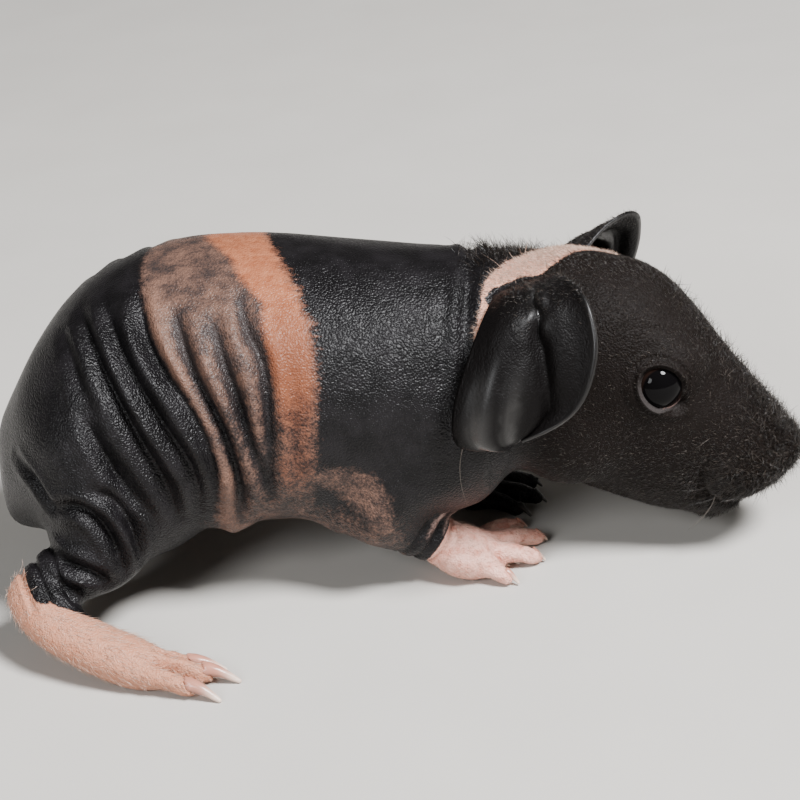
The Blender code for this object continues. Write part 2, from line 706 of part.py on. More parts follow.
def material(name, colour, roughness):
    made = bpy.data.materials.new(name)
    made.use_nodes = True
    shader = made.node_tree.nodes["Principled BSDF"]
    shader.inputs["Base Color"].default_value = (*colour, 1)
    shader.inputs["Roughness"].default_value = roughness
    shader.inputs["Metallic"].default_value = 0.0
    return made


def stand_on_origin(nodes):
    """Move all nodes so that the origin is under the middle of the animal, on the floor."""
    corners = np.vstack([points_of(obj) for obj in nodes])
    low, high = corners.min(axis=0), corners.max(axis=0)
    shift = Vector((-(low[0] + high[0]) / 2, -(low[1] + high[1]) / 2, 0))
    for obj in nodes:
        obj.data.transform(Matrix.Translation(shift))


def build():
    clear_scene()
    flesh = fused(flesh_masses())
    sculpt(flesh)
    thinned(flesh)
    above_floor(flesh)
    nodes = part_flesh(flesh)
    for side in (-1, 1):
        socket(nodes["head"], side)
    keep_largest(nodes["head"])
    for side in (-1, 1):
        ball = eye(side)
        nodes[ball.name] = ball
        flap = ear(side)
        seat_on(flap, nodes["head"], nodes["neck"])
        nodes[flap.name] = flap
    for name, leg in LEGS.items():
        for index in range(len(leg["toes"])):
            piece = claw(name, leg, index)
            seat_on(piece, nodes["foot_" + name])
            above_floor(piece)
            nodes[piece.name] = piece
    dark = material("dark_skin", (0.030, 0.028, 0.030), 0.45)
    pink = material("pink_skin", (0.72, 0.42, 0.34), 0.5)
    horn = material("claw_horn", (0.74, 0.58, 0.50), 0.35)
    glossy = material("eye_black", (0.010, 0.007, 0.006), 0.05)
    for name, obj in nodes.items():
        finish = dark
        if name.startswith("foot") and name != "foot_front_left":
            finish = pink
        if name.startswith("claw"):
            finish = horn
        if name.startswith("eye"):
            finish = glossy
        obj.data.materials.clear()
        obj.data.materials.append(finish)
        obj.data.shade_smooth()
    stand_on_origin(list(nodes.values()))


build()
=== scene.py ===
import math

import bpy
import numpy as np
from mathutils import Matrix, Vector


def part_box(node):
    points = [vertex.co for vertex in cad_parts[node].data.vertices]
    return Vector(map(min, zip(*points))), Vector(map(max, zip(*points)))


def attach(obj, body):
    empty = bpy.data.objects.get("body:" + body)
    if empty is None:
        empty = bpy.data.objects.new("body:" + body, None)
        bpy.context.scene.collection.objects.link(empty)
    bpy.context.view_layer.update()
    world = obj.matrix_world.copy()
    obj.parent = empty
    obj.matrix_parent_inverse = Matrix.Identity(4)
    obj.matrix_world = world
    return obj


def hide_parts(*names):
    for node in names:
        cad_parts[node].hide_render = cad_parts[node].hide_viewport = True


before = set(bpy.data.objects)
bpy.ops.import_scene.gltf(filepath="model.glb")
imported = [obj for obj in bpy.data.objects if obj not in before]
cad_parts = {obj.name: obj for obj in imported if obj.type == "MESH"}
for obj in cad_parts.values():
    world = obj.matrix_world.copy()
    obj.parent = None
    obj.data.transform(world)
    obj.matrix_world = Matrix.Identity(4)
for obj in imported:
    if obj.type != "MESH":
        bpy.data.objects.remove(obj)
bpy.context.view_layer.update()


# The hide under its folds. One closed skin lies over head, neck, trunk, legs and feet, as on the
# living pup. It is made from copies of the fleshy solids, swollen until they meet, wrapped in one
# fine even mesh and let back to size, then softened: most over the trunk, least on the toes.
MM = 0.001
HEAD_PLACE = Vector((24, 0, 31)) * MM
HEAD_TURN = (Matrix.Rotation(math.radians(-8), 4, "Z") @ Matrix.Rotation(math.radians(33), 4, "Y")
             @ Matrix.Rotation(math.radians(-5), 4, "X"))
EYE_CENTRE = Vector((13.3, 8.9, 6.9)) * MM
EYE_RADIUS = 4.3
FLESH = ["torso", "neck", "head"]
for limb_part in ("leg", "foot"):
    for corner in ("front_right", "front_left", "hind_right", "hind_left"):
        FLESH.append(f"{limb_part}_{corner}")
SWELL = 0.2 * MM
SKIN_GRID = 0.68 * MM
SMOOTHINGS = 120
WEIGHT_LEVELS = 40
FULLNESS = 0.3 * MM
ORBIT_RADIUS = (EYE_RADIUS + 1.2) * MM


def middle_of(node):
    low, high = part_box(node)
    return (low + high) / 2


# How far the modelled stance lies from the body's own axes.
STANCE = middle_of("eye_right") - HEAD_PLACE
STANCE -= HEAD_TURN @ Vector((EYE_CENTRE.x, -EYE_CENTRE.y, EYE_CENTRE.z))
HEAD_FRAME = (Matrix.Translation(HEAD_PLACE + STANCE) @ HEAD_TURN).inverted()


def moved(points, matrix):
    matrix = np.array(matrix)
    return points @ matrix[:3, :3].T + matrix[:3, 3]


def in_body(points):
    """Points in millimetres on the body's own axes: x forward, y left, z up."""
    return (points - np.array(STANCE)) / MM


def in_head(points):
    """Points in millimetres on the head's axes: x along the muzzle, z out of the forehead."""
    return moved(points, HEAD_FRAME) / MM


def smoothstep(low, high, value):
    t = np.clip((value - low) / (high - low), 0, 1)
    return t * t * (3 - 2 * t)


def bell(value, width):
    return np.exp(-((value / width) ** 2))


def distances(points, place):
    return np.linalg.norm(points - np.array(place), axis=1)


def unit(vectors):
    return vectors / np.maximum(np.linalg.norm(vectors, axis=1), 1e-9)[:, None]


def select_only(obj):
    bpy.ops.object.select_all(action="DESELECT")
    obj.select_set(True)
    bpy.context.view_layer.objects.active = obj


def edit_whole(obj, operator, **settings):
    """Run a mesh operator over all of an object."""
    select_only(obj)
    bpy.ops.object.mode_set(mode="EDIT")
    bpy.ops.mesh.select_all(action="SELECT")
    operator(**settings)
    bpy.ops.object.mode_set(mode="OBJECT")


def apply_modifier(obj, kind, **settings):
    modifier = obj.modifiers.new(kind.title(), kind)
    for key, value in settings.items():
        setattr(modifier, key, value)
    select_only(obj)
    bpy.ops.object.modifier_apply(modifier=modifier.name)


def node_copy(node, name):
    """A merged copy of a solid, free of the frame."""
    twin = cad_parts[node].copy()
    twin.data = twin.data.copy()
    twin.name = name
    twin.parent = None
    bpy.context.scene.collection.objects.link(twin)
    edit_whole(twin, bpy.ops.mesh.remove_doubles, threshold=0.001 * MM)
    twin.data.materials.clear()
    return twin


def join(parts, name):
    bpy.ops.object.select_all(action="DESELECT")
    for part in parts:
        part.select_set(True)
    bpy.context.view_layer.objects.active = parts[0]
    bpy.ops.object.join()
    parts[0].name = name
    return parts[0]


def points_of(obj):
    co = np.zeros(len(obj.data.vertices) * 3)
    obj.data.vertices.foreach_get("co", co)
    return co.reshape(-1, 3)


def set_points(obj, points):
    obj.data.vertices.foreach_set("co", points.ravel())
    obj.data.update()


def apply_weighted(obj, weights, kind, **settings):
    """Apply a modifier that acts on each vertex by its weight."""
    group = obj.vertex_groups.new(name="weights")
    levels = np.round(np.clip(weights, 0, 1) * WEIGHT_LEVELS).astype(int)
    for level in range(1, WEIGHT_LEVELS + 1):
        chosen = np.nonzero(levels == level)[0]
        if len(chosen):
            group.add(chosen.tolist(), level / WEIGHT_LEVELS, "REPLACE")
    apply_modifier(obj, kind, vertex_group="weights", **settings)
    obj.vertex_groups.clear()


def eye_matrix(side):
    """The eye's own axes: x towards the nose, z out along its gaze."""
    gaze = (HEAD_TURN @ Vector((0.24, 0.94 * side, 0.24))).normalized()
    onward = HEAD_TURN @ Vector((1, 0, 0))
    onward = (onward - gaze * onward.dot(gaze)).normalized()
    upward = gaze.cross(onward) if side < 0 else onward.cross(gaze)
    axes = Matrix((onward, upward, gaze)).transposed().to_4x4()
    centre = HEAD_PLACE + STANCE + HEAD_TURN @ Vector((EYE_CENTRE.x, EYE_CENTRE.y * side, EYE_CENTRE.z))
    return Matrix.Translation(centre) @ axes


pads = []
for node in FLESH:
    pad = node_copy(node, "hide_" + node)
    apply_modifier(pad, "DISPLACE", strength=SWELL, mid_level=0)
    pads.append(pad)
for side in (-1, 1):
    bpy.ops.mesh.primitive_uv_sphere_add(segments=32, ring_count=20, radius=ORBIT_RADIUS,
                                         location=eye_matrix(side).to_translation())
    orbit = bpy.context.object
    select_only(orbit)
    bpy.ops.object.transform_apply(location=True, rotation=True, scale=True)
    pads.append(orbit)
skin = join(pads, "skin")
apply_modifier(skin, "REMESH", mode="VOXEL", voxel_size=SKIN_GRID, adaptivity=0)
apply_modifier(skin, "DISPLACE", strength=-SWELL, mid_level=0)

body, head = in_body(points_of(skin)), in_head(points_of(skin))
softness = 0.03 + 0.97 * smoothstep(6, 15, body[:, 2])
on_head = smoothstep(16, 24, body[:, 0])
softness *= 1 - on_head * (0.84 + 0.10 * smoothstep(20, 28, head[:, 0]))
apply_weighted(skin, softness, "SMOOTH", factor=0.5, iterations=SMOOTHINGS)
full = 0.35 + 0.65 * smoothstep(6, 15, body[:, 2]) * (1 - on_head)
apply_weighted(skin, full, "DISPLACE", strength=FULLNESS, mid_level=0)


# The ears. Each is a thin bare flap of gristle and skin that droops from the crown: a swollen back
# lobe, a deep fold down the middle, knobs round the mouth of the canal, and a raised front rim.
# A grid is bent to that form, given its thickness, joined to the skin and blended in at the root.
EARS = {
    -1: {
        "line": [(-10, 7, 9.6), (-9.6, 12.2, 11), (-8.2, 18, 10.2), (-5.9, 21.1, 5.8),
                 (-3.9, 22.8, 0.7), (-2.4, 23.1, -3.5), (-1.4, 22.8, -6.2)],
        "halves": (5.2, 10.5),
        "across": (0.65, 0.02, 0.76),
        "lobe": 1,
    },
    1: {
        "line": [(-5.6, 7, 9.2), (-4, 12.4, 13.2), (-1.2, 17.2, 13.9), (1, 20.2, 9.2),
                 (2.6, 21.2, 3), (3.6, 21, -2), (4.2, 20.6, -5)],
        "halves": (4.8, 7.7),
        "across": (0.45, 0.02, 0.89),
        "lobe": 0.6,
    },
}
EAR_FOLD = 1.8
EAR_THICKNESS = 0.95 * MM
CANAL_KNOBS = [(0.02, 0.22, 1.0), (0.22, 0.28, 1.1), (0.00, 0.34, 1.1), (0.20, 0.41, 0.9)]


def from_head(place):
    """A place in millimetres on the head's axes, as a point of the model."""
    return np.array(HEAD_PLACE + STANCE + HEAD_TURN @ (Vector(place) * MM))


def spline(rows, count):
    """A smooth curve through the rows, as an array of count rows."""
    rows = np.asarray(rows, float)
    padded = np.vstack([2 * rows[0] - rows[1], rows, 2 * rows[-1] - rows[-2]])
    u = np.linspace(0, len(rows) - 1, count)
    i = np.minimum(u.astype(int), len(rows) - 2)
    t = (u - i)[:, None]
    a, b, c, d = (padded[i + k] for k in range(4))
    return 0.5 * (2 * b + (c - a) * t + (2 * a - 5 * b + 4 * c - d) * t**2 + (3 * b - a - 3 * c + d) * t**3)


def fold_line(t):
    """Where the deep fold runs across the ear, at each share of the way from root to tip."""
    return 0.04 + 0.5 * smoothstep(0.25, 1.0, t)


def ear_sheet(side, s, t):
    """Places of an ear on the head's axes; s goes from back to front rim, t from root to tip."""
    shape = EARS[side]
    line = spline(shape["line"], 61)
    steps = np.linspace(0, 1, 61)
    across = np.array(shape["across"]) / np.linalg.norm(shape["across"])
    outward = unit(np.cross(across, np.gradient(line, axis=0)))
    centre = np.stack([np.interp(t, steps, line[:, k]) for k in range(3)], axis=1)
    outward = np.stack([np.interp(t, steps, outward[:, k]) for k in range(3)], axis=1)
    rounded = (1 - np.maximum(0.0, (t - 0.6) / 0.402) ** 2.6) ** 0.5
    root, full = shape["halves"]
    half = (root + (full - root) * smoothstep(0.05, 0.62, t)) * rounded
    grown = smoothstep(0.08, 0.45, t)
    fold_at = fold_line(t)
    lift = 1.5 * shape["lobe"] * grown * bell(s + 0.42, 0.42)
    lift -= EAR_FOLD * grown * bell(s - fold_at, 0.15) * (1 - 0.6 * smoothstep(0.85, 1.0, t))
    lift -= 0.6 * grown * bell(s - 0.7, 0.2) - 0.5 * grown * smoothstep(0.88, 1.0, s)
    lift += 0.16 * np.cos(s * 17 + t * 3) * smoothstep(0.4, 0.7, t) * smoothstep(-0.1, -0.4, s)
    for knob_s, knob_t, size in CANAL_KNOBS:
        lift += size * shape["lobe"] ** 2 * bell(s - knob_s, 0.09) * bell(t - knob_t, 0.04)
    places = centre + across * (half * s)[:, None] + outward * lift[:, None]
    places[:, 1] *= side
    return places


def ear(side):
    bpy.ops.mesh.primitive_grid_add(x_subdivisions=44, y_subdivisions=40, size=2)
    flap = bpy.context.object
    grid = points_of(flap)
    s, t = grid[:, 0], (grid[:, 1] + 1) / 2
    places = ear_sheet(side, s, t)
    set_points(flap, np.array([from_head(place) for place in places]))
    rim = np.minimum(1 - np.abs(s), (1 - t) * 2.2)
    apply_weighted(flap, smoothstep(-0.02, 0.35, rim), "SOLIDIFY", thickness=EAR_THICKNESS, offset=0,
                   thickness_vertex_group=0.5, use_rim=True)
    edit_whole(flap, bpy.ops.mesh.normals_make_consistent, inside=False)
    return flap


for side in (-1, 1):
    flap = ear(side)
    apply_modifier(skin, "BOOLEAN", operation="UNION", object=flap, solver="EXACT")
    bpy.data.objects.remove(flap)


def on_ear(points):
    """For each point, how surely it is on an ear, and its s and t there."""
    head = in_head(points)
    sure = np.zeros(len(points))
    s_at, t_at = np.zeros(len(points)), np.zeros(len(points))
    s, t = (part.ravel() for part in np.meshgrid(np.linspace(-1, 1, 41), np.linspace(0, 1, 41)))
    for side in (-1, 1):
        sheet = ear_sheet(side, s, t)
        low, high = sheet.min(axis=0) - 1.5, sheet.max(axis=0) + 1.5
        close = np.nonzero(((head > low) & (head < high)).all(axis=1))[0]
        for start in range(0, len(close), 4000):
            some = close[start : start + 4000]
            away = np.linalg.norm(head[some][:, None] - sheet[None], axis=2)
            nearest = away.argmin(axis=1)
            found = smoothstep(1.3, 0.8, away.min(axis=1))
            sure[some] = np.maximum(sure[some], found)
            s_at[some], t_at[some] = s[nearest], t[nearest]
    return sure, s_at, t_at


on, s, t = on_ear(points_of(skin))
apply_weighted(skin, on * smoothstep(0.24, 0.12, t), "SMOOTH", factor=0.5, iterations=8)


# Finer mesh where the forms are finest: once over the face, the toes and the folded right flank, and
# once more round the eyes, at the nose and along the mouth.
def refine(obj, chosen):
    """Split the faces whose corners are all chosen into four."""
    select_only(obj)
    bpy.ops.object.mode_set(mode="EDIT")
    bpy.ops.mesh.select_mode(type="VERT")
    bpy.ops.mesh.select_all(action="DESELECT")
    bpy.ops.object.mode_set(mode="OBJECT")
    obj.data.vertices.foreach_set("select", chosen)
    bpy.ops.object.mode_set(mode="EDIT")
    bpy.ops.mesh.select_mode(type="FACE")
    bpy.ops.mesh.subdivide(number_cuts=1, smoothness=1.0)
    bpy.ops.object.mode_set(mode="OBJECT")


def near_path(points, path):
    """How far each point is from a curve through the path, and how far along it, 0 to 1."""
    curve = spline(path, 12 * len(path))
    away = np.full(len(points), 1e9)
    along = np.zeros(len(points))
    for i, place in enumerate(curve):
        distance = distances(points, place)
        closer = distance < away
        away[closer] = distance[closer]
        along[closer] = i / (len(curve) - 1)
    return away, along


MOUTH = [(37.0, 0.0, -3.0), (35.8, 3.6, -4.2), (32.4, 6.6, -4.8), (29.2, 8.2, -4.4), (27.2, 8.9, -2.4)]
NOSTRIL = [(38.4, 2.6, 5.4), (36.8, 4.5, 5.8), (34.6, 6.4, 4.6), (33.2, 7.6, 2.8)]
points = points_of(skin)
body, head = in_body(points), in_head(points)
bare = on_ear(points)[0] < 0.2
coarse = (body[:, 0] > 20) & (head[:, 0] > 5) | (body[:, 2] < 6.5)
coarse |= (body[:, 0] < -10) & (body[:, 1] < -4) & (body[:, 2] > 8)
refine(skin, coarse & bare)


def both_sides(points):
    """Head points with the left side's turned onto the right's mirror image."""
    mirrored = points.copy()
    mirrored[:, 1] = np.abs(mirrored[:, 1])
    return mirrored


head = both_sides(in_head(points_of(skin)))
fine = near_path(head, MOUTH)[0] < 1.8
fine |= near_path(head, NOSTRIL)[0] < 1.8
fine |= distances(head, (14.4, 13, 7.6)) < 6.4
refine(skin, fine & (in_body(points_of(skin))[:, 0] > 20))


# Folds of the hide. Loose skin hangs in rolls down the flanks and over the right knee, with creases
# behind the crown, round the wrists and between the toes. Each crease is pressed in along its path,
# and the rolls beside it swell a little. The flanks' creases are given in degrees round the trunk
# from the spine and millimetres along it, with a depth each; the others are body points.
FLANK_CREASES = [
    ([(34, -47.2), (51, -45.7), (68, -43.9), (84, -41.6)], 0.5),
    ([(6, -45.5), (32, -44.1), (57, -41.2), (75, -38.4), (91, -35.7), (108, -33.1), (124, -32)], 1.5),
    ([(-2, -39.7), (20, -39.3), (36, -38)], 0.5),
    ([(8, -42), (37, -39.7), (59, -36.9), (80, -33), (100, -29.3), (113, -28.5), (128, -29.1)], 1.5),
    ([(9, -36.2), (31, -35), (46, -34.2), (60, -32.2), (79, -27.9), (99, -25.7), (132, -26.8)], 1.5),
    ([(40, -29.6), (55, -28.3), (68, -26.8), (89, -23.6), (111, -22.5), (131, -23.6)], 1.7),
    ([(45, -24), (63, -22.5), (74, -21.3), (96, -19.8), (121, -18.2)], 1.5),
    ([(35, -20.3), (50, -19), (60, -17.5), (72, -16.8), (97, -17.3), (118, -17.8)], 1.3),
    ([(80, -43.6), (90, -41.8), (107, -38.5), (122, -36.2), (134, -35.5)], 1.5),
    ([(64, -13.2), (80, -13), (98, -13.6), (112, -14.2)], 0.4),
]
KNEE_CREASES = [
    ([(-42.6, -24.2, 25.4), (-40.5, -24, 23.9), (-39, -23.7, 20.9), (-38, -24, 17.8),
      (-37.8, -23.5, 13)], 1.4),
    ([(-50, -21.8, 21.9), (-46.5, -24.1, 23), (-43.6, -25, 21.8), (-41.7, -25.1, 18.9),
      (-40.7, -25.3, 15.7), (-40.4, -25, 12)], 1.5),
    ([(-53, -20, 15.6), (-49.4, -25, 15), (-46.4, -26.5, 14), (-44.1, -26.6, 12.7),
      (-42.6, -25.6, 11)], 1.4),
    ([(-52.6, -23.6, 14.6), (-50.3, -26.4, 12.8), (-48.3, -26.8, 10.9), (-46.9, -26.2, 9.4)], 0.9),
    ([(-55.5, -14.8, 27.2), (-52.8, -19.3, 25.7), (-51.1, -20.9, 23.6), (-49.7, -22.1, 21.7)], 1),
]
NECK_CREASES = [
    ([(12.6, 0, 48), (12.2, 7, 46.4), (11.4, 13.5, 41.5), (11, 17.5, 35)], 1),
    ([(9, 8, 46.5), (8.4, 14, 41.5), (7.6, 18, 34), (8.2, 19, 27)], 0.35),
    ([(15, 17, 27), (13.6, 16, 21), (12, 13, 17)], 0.6),
]
WRISTS = [((-2.6, -14.6, 13.4), (5.8, -10.8, 5.8)), ((0.2, 13.4, 12.2), (6.4, 11.0, 5.4)),
          ((-46.0, -21.4, 12.8), (-54.0, -24.0, 10.0))]
WRIST_CREASE, WRIST_ROLL = 4.6, 2.65
# Soft skin that hangs low behind the elbow and in the groin: place, reach and how far it bulges.
SAGS = [((-9.0, -14.5, 14.0), 4.4, 2.8), ((-4.0, -17.6, 12.6), 3.2, 0.9), ((-24.8, -17.2, 15.5), 3.2, 2.0)]
# The gaps between toes, as lines on the floor from the sole out past the tips.
TOE_GAPS = [[(11.9, -5.2), (18.4, -1.4)], [(12.8, -8.4), (20.2, -6.6)], [(11.6, -11.6), (17.8, -12.8)],
            [(12.4, 8), (18.8, 6.1)], [(13.2, 10.9), (20.2, 10.9)], [(12, 13.9), (17.8, 16)],
            [(-36.4, -34.4), (-28.6, -34.9)], [(-36.8, -36.5), (-28.2, -38.4)],
            [(-28, 21.6), (-19, 21)], [(-28, 24), (-19.2, 25.6)]]
TOE_GAP, GAP_SHARE = 0.5, 0.86
FLANK_WIDTH, KNEE_WIDTH, NECK_WIDTH = 0.95, 0.85, 0.8
TRUNK_AXIS = 32
TRUNK_GIRTH = 0.37


def unrolled(body):
    """Body points as places on a flat sheet, millimetres along and round the trunk from the spine."""
    angle = np.degrees(np.arctan2(np.abs(body[:, 1]), body[:, 2] - TRUNK_AXIS))
    return np.stack([body[:, 0], angle * TRUNK_GIRTH], axis=1)


def crease(points, path, width, depth):
    """Heights that press a crease in along a path and swell its two sides; it fades at both ends."""
    away, along = near_path(points, path)
    fade = np.sin(np.pi * np.clip(along, 0.02, 0.98)) ** 0.5
    swell = 0.3 * bell(away - 2.2 * width, width)
    return depth * fade * (swell - np.exp(-((away / width) ** 1.5)))


def mark(obj, name, values):
    """Keep one number for each point of a mesh, for its material to read."""
    layer = obj.data.attributes.new(name=name, type="FLOAT", domain="POINT")
    layer.data.foreach_set("value", np.clip(values, 0, 1).astype(np.float32))


def round_limb(body, start, end):
    """How far along a limb's axis each point lies, and how far off it."""
    start, end = np.array(start), np.array(end)
    reach = np.linalg.norm(end - start)
    onward = (end - start) / reach
    along = (body - start) @ onward
    return along, np.linalg.norm(body - start - np.clip(along, 0, reach)[:, None] * onward, axis=1)


def normals_of(obj):
    normals = np.zeros(len(obj.data.vertices) * 3)
    obj.data.vertices.foreach_get("normal", normals)
    return normals.reshape(-1, 3)


def push(obj, heights):
    set_points(obj, points_of(obj) + normals_of(obj) * (heights * MM)[:, None])


points = points_of(skin)
body, head = in_body(points), in_head(points)
mirrored = both_sides(body)
bare = 1 - on_ear(points)[0]
heights = np.zeros(len(points))
flank = body[:, 0] < -8
sheet = unrolled(body[flank])
on_trunk = smoothstep(26.5, 24.0, np.hypot(body[flank][:, 1], body[flank][:, 2] - TRUNK_AXIS))
on_trunk *= smoothstep(14, 44, sheet[:, 1] / TRUNK_GIRTH)
for path, depth in FLANK_CREASES:
    path = [(x, angle * TRUNK_GIRTH) for angle, x in path]
    heights[flank] += crease(sheet, path, FLANK_WIDTH, depth) * on_trunk
for path, depth in KNEE_CREASES:
    heights[flank] += crease(body[flank], path, KNEE_WIDTH, depth)
collar = (body[:, 0] > 2) & (body[:, 0] < 22)
for path, depth in NECK_CREASES:
    heights[collar] += crease(mirrored[collar], path, NECK_WIDTH, depth) * bare[collar]
for start, end in WRISTS:
    along, away = round_limb(body, start, end)
    ring = (0.5 + 0.5 * np.cos(2 * np.pi * (along - WRIST_CREASE) / WRIST_ROLL)) ** 3
    zone = smoothstep(3.4, 4.6, along) * smoothstep(11.4, 10.2, along)
    heights += (0.25 - 0.6 * ring) * zone * smoothstep(7.0, 5.5, away)
# The creases' depth is kept for the material as painted crease shade, which darkens the hide's colour in
# them.
mark(skin, "valley", -heights / 1.2)
for place, reach, height in SAGS:
    heights += height * bell(distances(body, place), reach)
push(skin, heights)

points = points_of(skin)
body = in_body(points)
low = np.nonzero(body[:, 2] < 6.5)[0]
for gap in TOE_GAPS:
    away, along = near_path(body[low][:, :2], gap)
    pressed = bell(away, TOE_GAP) * smoothstep(0.0, 0.35, along)
    pressed *= smoothstep(5.6, 4.4, body[low][:, 2])
    points[low, 2] = points[low, 2] * (1 - GAP_SHARE * pressed)
set_points(skin, points)


# The face: mouth, split lip, nostrils and lids. Each lid is a thick wrinkled rim round the eye,
# with a crease outside it and a pointed, wet inner corner towards the nose.
LID_BACK, LID_FRONT, LID_UP, LID_DOWN = 3.3, 3.7, 2.7, 2.8
LID_TILT = math.radians(12)
PAD_BACK = [(26.2, 9.6, 1.0), (27.0, 9.0, -2.6), (28.0, 8.0, -4.8), (28.4, 6.4, -6.4)]
# The chin, the whisker pad and the lower lip: place, reach and how far each swells.
LIPS = [((34.0, 3.2, -6.0), 2.8, 1.1), ((30.4, 8.2, 0.2), 3.0, 0.6), ((32.0, 6.8, -3.4), 2.0, 0.4),
        ((28.6, 5.4, -7.4), 2.4, 0.7)]
BLUNTER = 1.5


def lid_shape(points, side):
    """Eye-plane places, millimetres, of points, and how many times the opening's size they lie out."""
    local = moved(points, eye_matrix(side).inverted()) / MM
    across = local[:, 0] * math.cos(LID_TILT) - local[:, 1] * math.sin(LID_TILT)
    upright = local[:, 0] * math.sin(LID_TILT) + local[:, 1] * math.cos(LID_TILT)
    across = across / np.where(across > 0, LID_FRONT, LID_BACK)
    upright = upright / np.where(upright > 0, LID_UP, LID_DOWN)
    narrowing = 1 + 0.35 * smoothstep(0.4, 1.0, across)
    return local, np.sqrt(across**2 + (upright * narrowing) ** 2)


points = points_of(skin)
head = both_sides(in_head(points))
front = (head[:, 0] > 20) & (in_body(points)[:, 0] > 30)
heights = np.zeros(len(points))
heights[front] += crease(head[front], MOUTH, 0.5, 0.6)
heights[front] += crease(head[front], NOSTRIL, 0.5, 0.6)
heights[front] -= 1.1 * bell(distances(head[front], (36.8, 4.4, 5.8)), 0.8)
heights[front] += crease(head[front], PAD_BACK, 1.1, 0.9)
heights[front] += crease(head[front], [(39.6, 0, 2.0), (38.4, 0, -1.4), (37.0, 0, -3.4)], 0.5, 0.8)
for place, size, height in LIPS:
    heights[front] += height * bell(distances(head[front], place), size)
push(skin, heights)
points = points_of(skin)
blunted = BLUNTER * MM * smoothstep(31, 38, head[:, 0]) * front
set_points(skin, points - blunted[:, None] * np.array(HEAD_TURN @ Vector((1, 0, 0))))

for side in (-1, 1):
    points = points_of(skin)
    local, out = lid_shape(points, side)
    chosen = np.nonzero((local[:, 2] > 0.5) & (out < 2.8))[0]
    local, out = local[chosen], out[chosen]
    snap = np.where(np.abs(out - 1) < 0.06, 1 / np.maximum(out, 0.5), 1.0)
    local[:, :2] *= snap[:, None]
    out = out * snap
    radius = np.linalg.norm(local[:, :2], axis=1)
    ball = np.sqrt(np.maximum(EYE_RADIUS**2 - radius**2, 0.5))
    turn = np.arctan2(local[:, 1], local[:, 0])
    lower = 0.55 + 0.45 * smoothstep(0.3, -0.5, np.sin(turn))
    rim = 0.3 * lower * bell(out - 1.16, 0.10)
    rim -= 0.24 * lower * bell(out - 1.4, 0.09)
    rim -= 0.62 * (1.0 - lower) * bell(out - 1.55, 0.12)
    rim -= 0.12 * bell(out - 1.95, 0.15)
    rim += 0.05 * np.cos(turn * 26) * bell(out - 1.3, 0.2)
    outer = local[:, 2] + rim
    inner = ball + 0.12 - 1.4 * smoothstep(1.0, 0.9, out)
    share = smoothstep(0.99, 1.26 + 0.3 * smoothstep(0.5, 0.95, np.cos(turn + LID_TILT)), out)
    local[:, 2] = inner * (1 - share) + outer * share
    points[chosen] = moved(local * MM, eye_matrix(side))
    set_points(skin, points)

# The mesh is thinned where it is flat.
SKIN_TRIANGLES = 190000
triangles = sum(len(face.vertices) - 2 for face in skin.data.polygons)
apply_modifier(skin, "DECIMATE", ratio=min(1, SKIN_TRIANGLES / triangles), use_collapse_triangulate=True)
skin.data.shade_smooth()
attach(skin, "root")
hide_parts(*FLESH, "ear_left", "ear_right")


# The colouring of the hide. The pup is charcoal black with a bare flesh-pink girdle, a mottled grey
# and pink patch behind it, a whitish stripe behind the crown, and pink feet but for the left fore
# one. The markings are worked out for each point of the skin from where it lies on the body.
def girdle_edge(angle, stations):
    """Where an edge of the girdle lies along the body, at an angle round it from the spine."""
    turns, places = zip(*stations)
    return np.mean([np.interp(angle + shift, turns, places) for shift in (-6, -3, 0, 3, 6)], axis=0)


GIRDLE_FRONT = [(-180, -16), (-110, -17.5), (-60, -19.4), (-14, -18), (10, -15.2), (25, -13.4),
                (37, -11.9), (51, -10.5), (63, -9.9), (79, -9.7), (108, -10.9), (150, -14), (180, -16)]
GIRDLE_BACK = [(-180, -20), (-110, -24.5), (-60, -27), (-16, -27), (8, -23), (13, -21.4), (28, -20.4),
               (38, -16.6), (48, -17), (58, -16.6), (70, -15.8), (93, -16), (125, -18.5), (180, -20)]
ROSY_ROLL = [(-33.4, -8.8, 49.5, 1.8), (-32.7, -13.5, 46.8, 2), (-30.9, -17.1, 43.7, 2.1),
             (-28.3, -19.7, 39.3, 2.1), (-25.9, -21.2, 35.1, 1.7), (-24.6, -21.9, 30, 1.4)]
GROIN = [(-24.6, -21.9, 30, 0.8), (-23.9, -21.7, 25.4, 1.2), (-24.1, -20.6, 20.8, 2),
         (-25, -17.6, 15.8, 2.6)]
LOW_PATCH = [(-9.8, -20.2, 23.4, 2.4), (-6.4, -19.4, 21.6, 3.4), (-4.4, -19.8, 18.8, 3.6),
             (-2.8, -19.4, 14.2, 2.4)]
MOTTLE_BACK = [(-180, -24), (-110, -31), (-60, -35), (4, -35.1), (32, -34.3), (54, -31.5), (75, -26.4),
               (95, -23.8), (120, -25.5), (180, -24)]
STRIPE = [(13.4, -13.8, 41, 0.9), (15.2, -10.8, 43.7, 1.5), (17.2, -6.5, 46.2, 2.4),
          (21.2, -2.2, 46.8, 2.8), (26.5, 3.4, 45.5, 2.7), (31, 5, 44.4, 1.7), (34.6, 2.6, 43.6, 0.6),
          (37.6, 0.4, 42, 0.4)]
PINK_FEET = {
    "hind_right": [(-55.6, -24.4, 8.8, 4.2), (-52.8, -28.8, 6.6, 4.3), (-45.4, -33.6, 4.4, 5),
                   (-38, -35.2, 3.1, 8), (-30, -37, 2, 8)],
    "hind_left": [(-47, 19.6, 4.4, 4.8), (-42.5, 20.6, 4, 6.2), (-34, 21.8, 3, 8),
                  (-22, 23, 2, 8)],
    "front_right": [(7.4, -13.6, 4, 4.6), (9.6, -11.4, 3, 7.6), (13, -8.6, 2, 8.8),
                    (17.4, -7.6, 1.6, 9.4)],
}


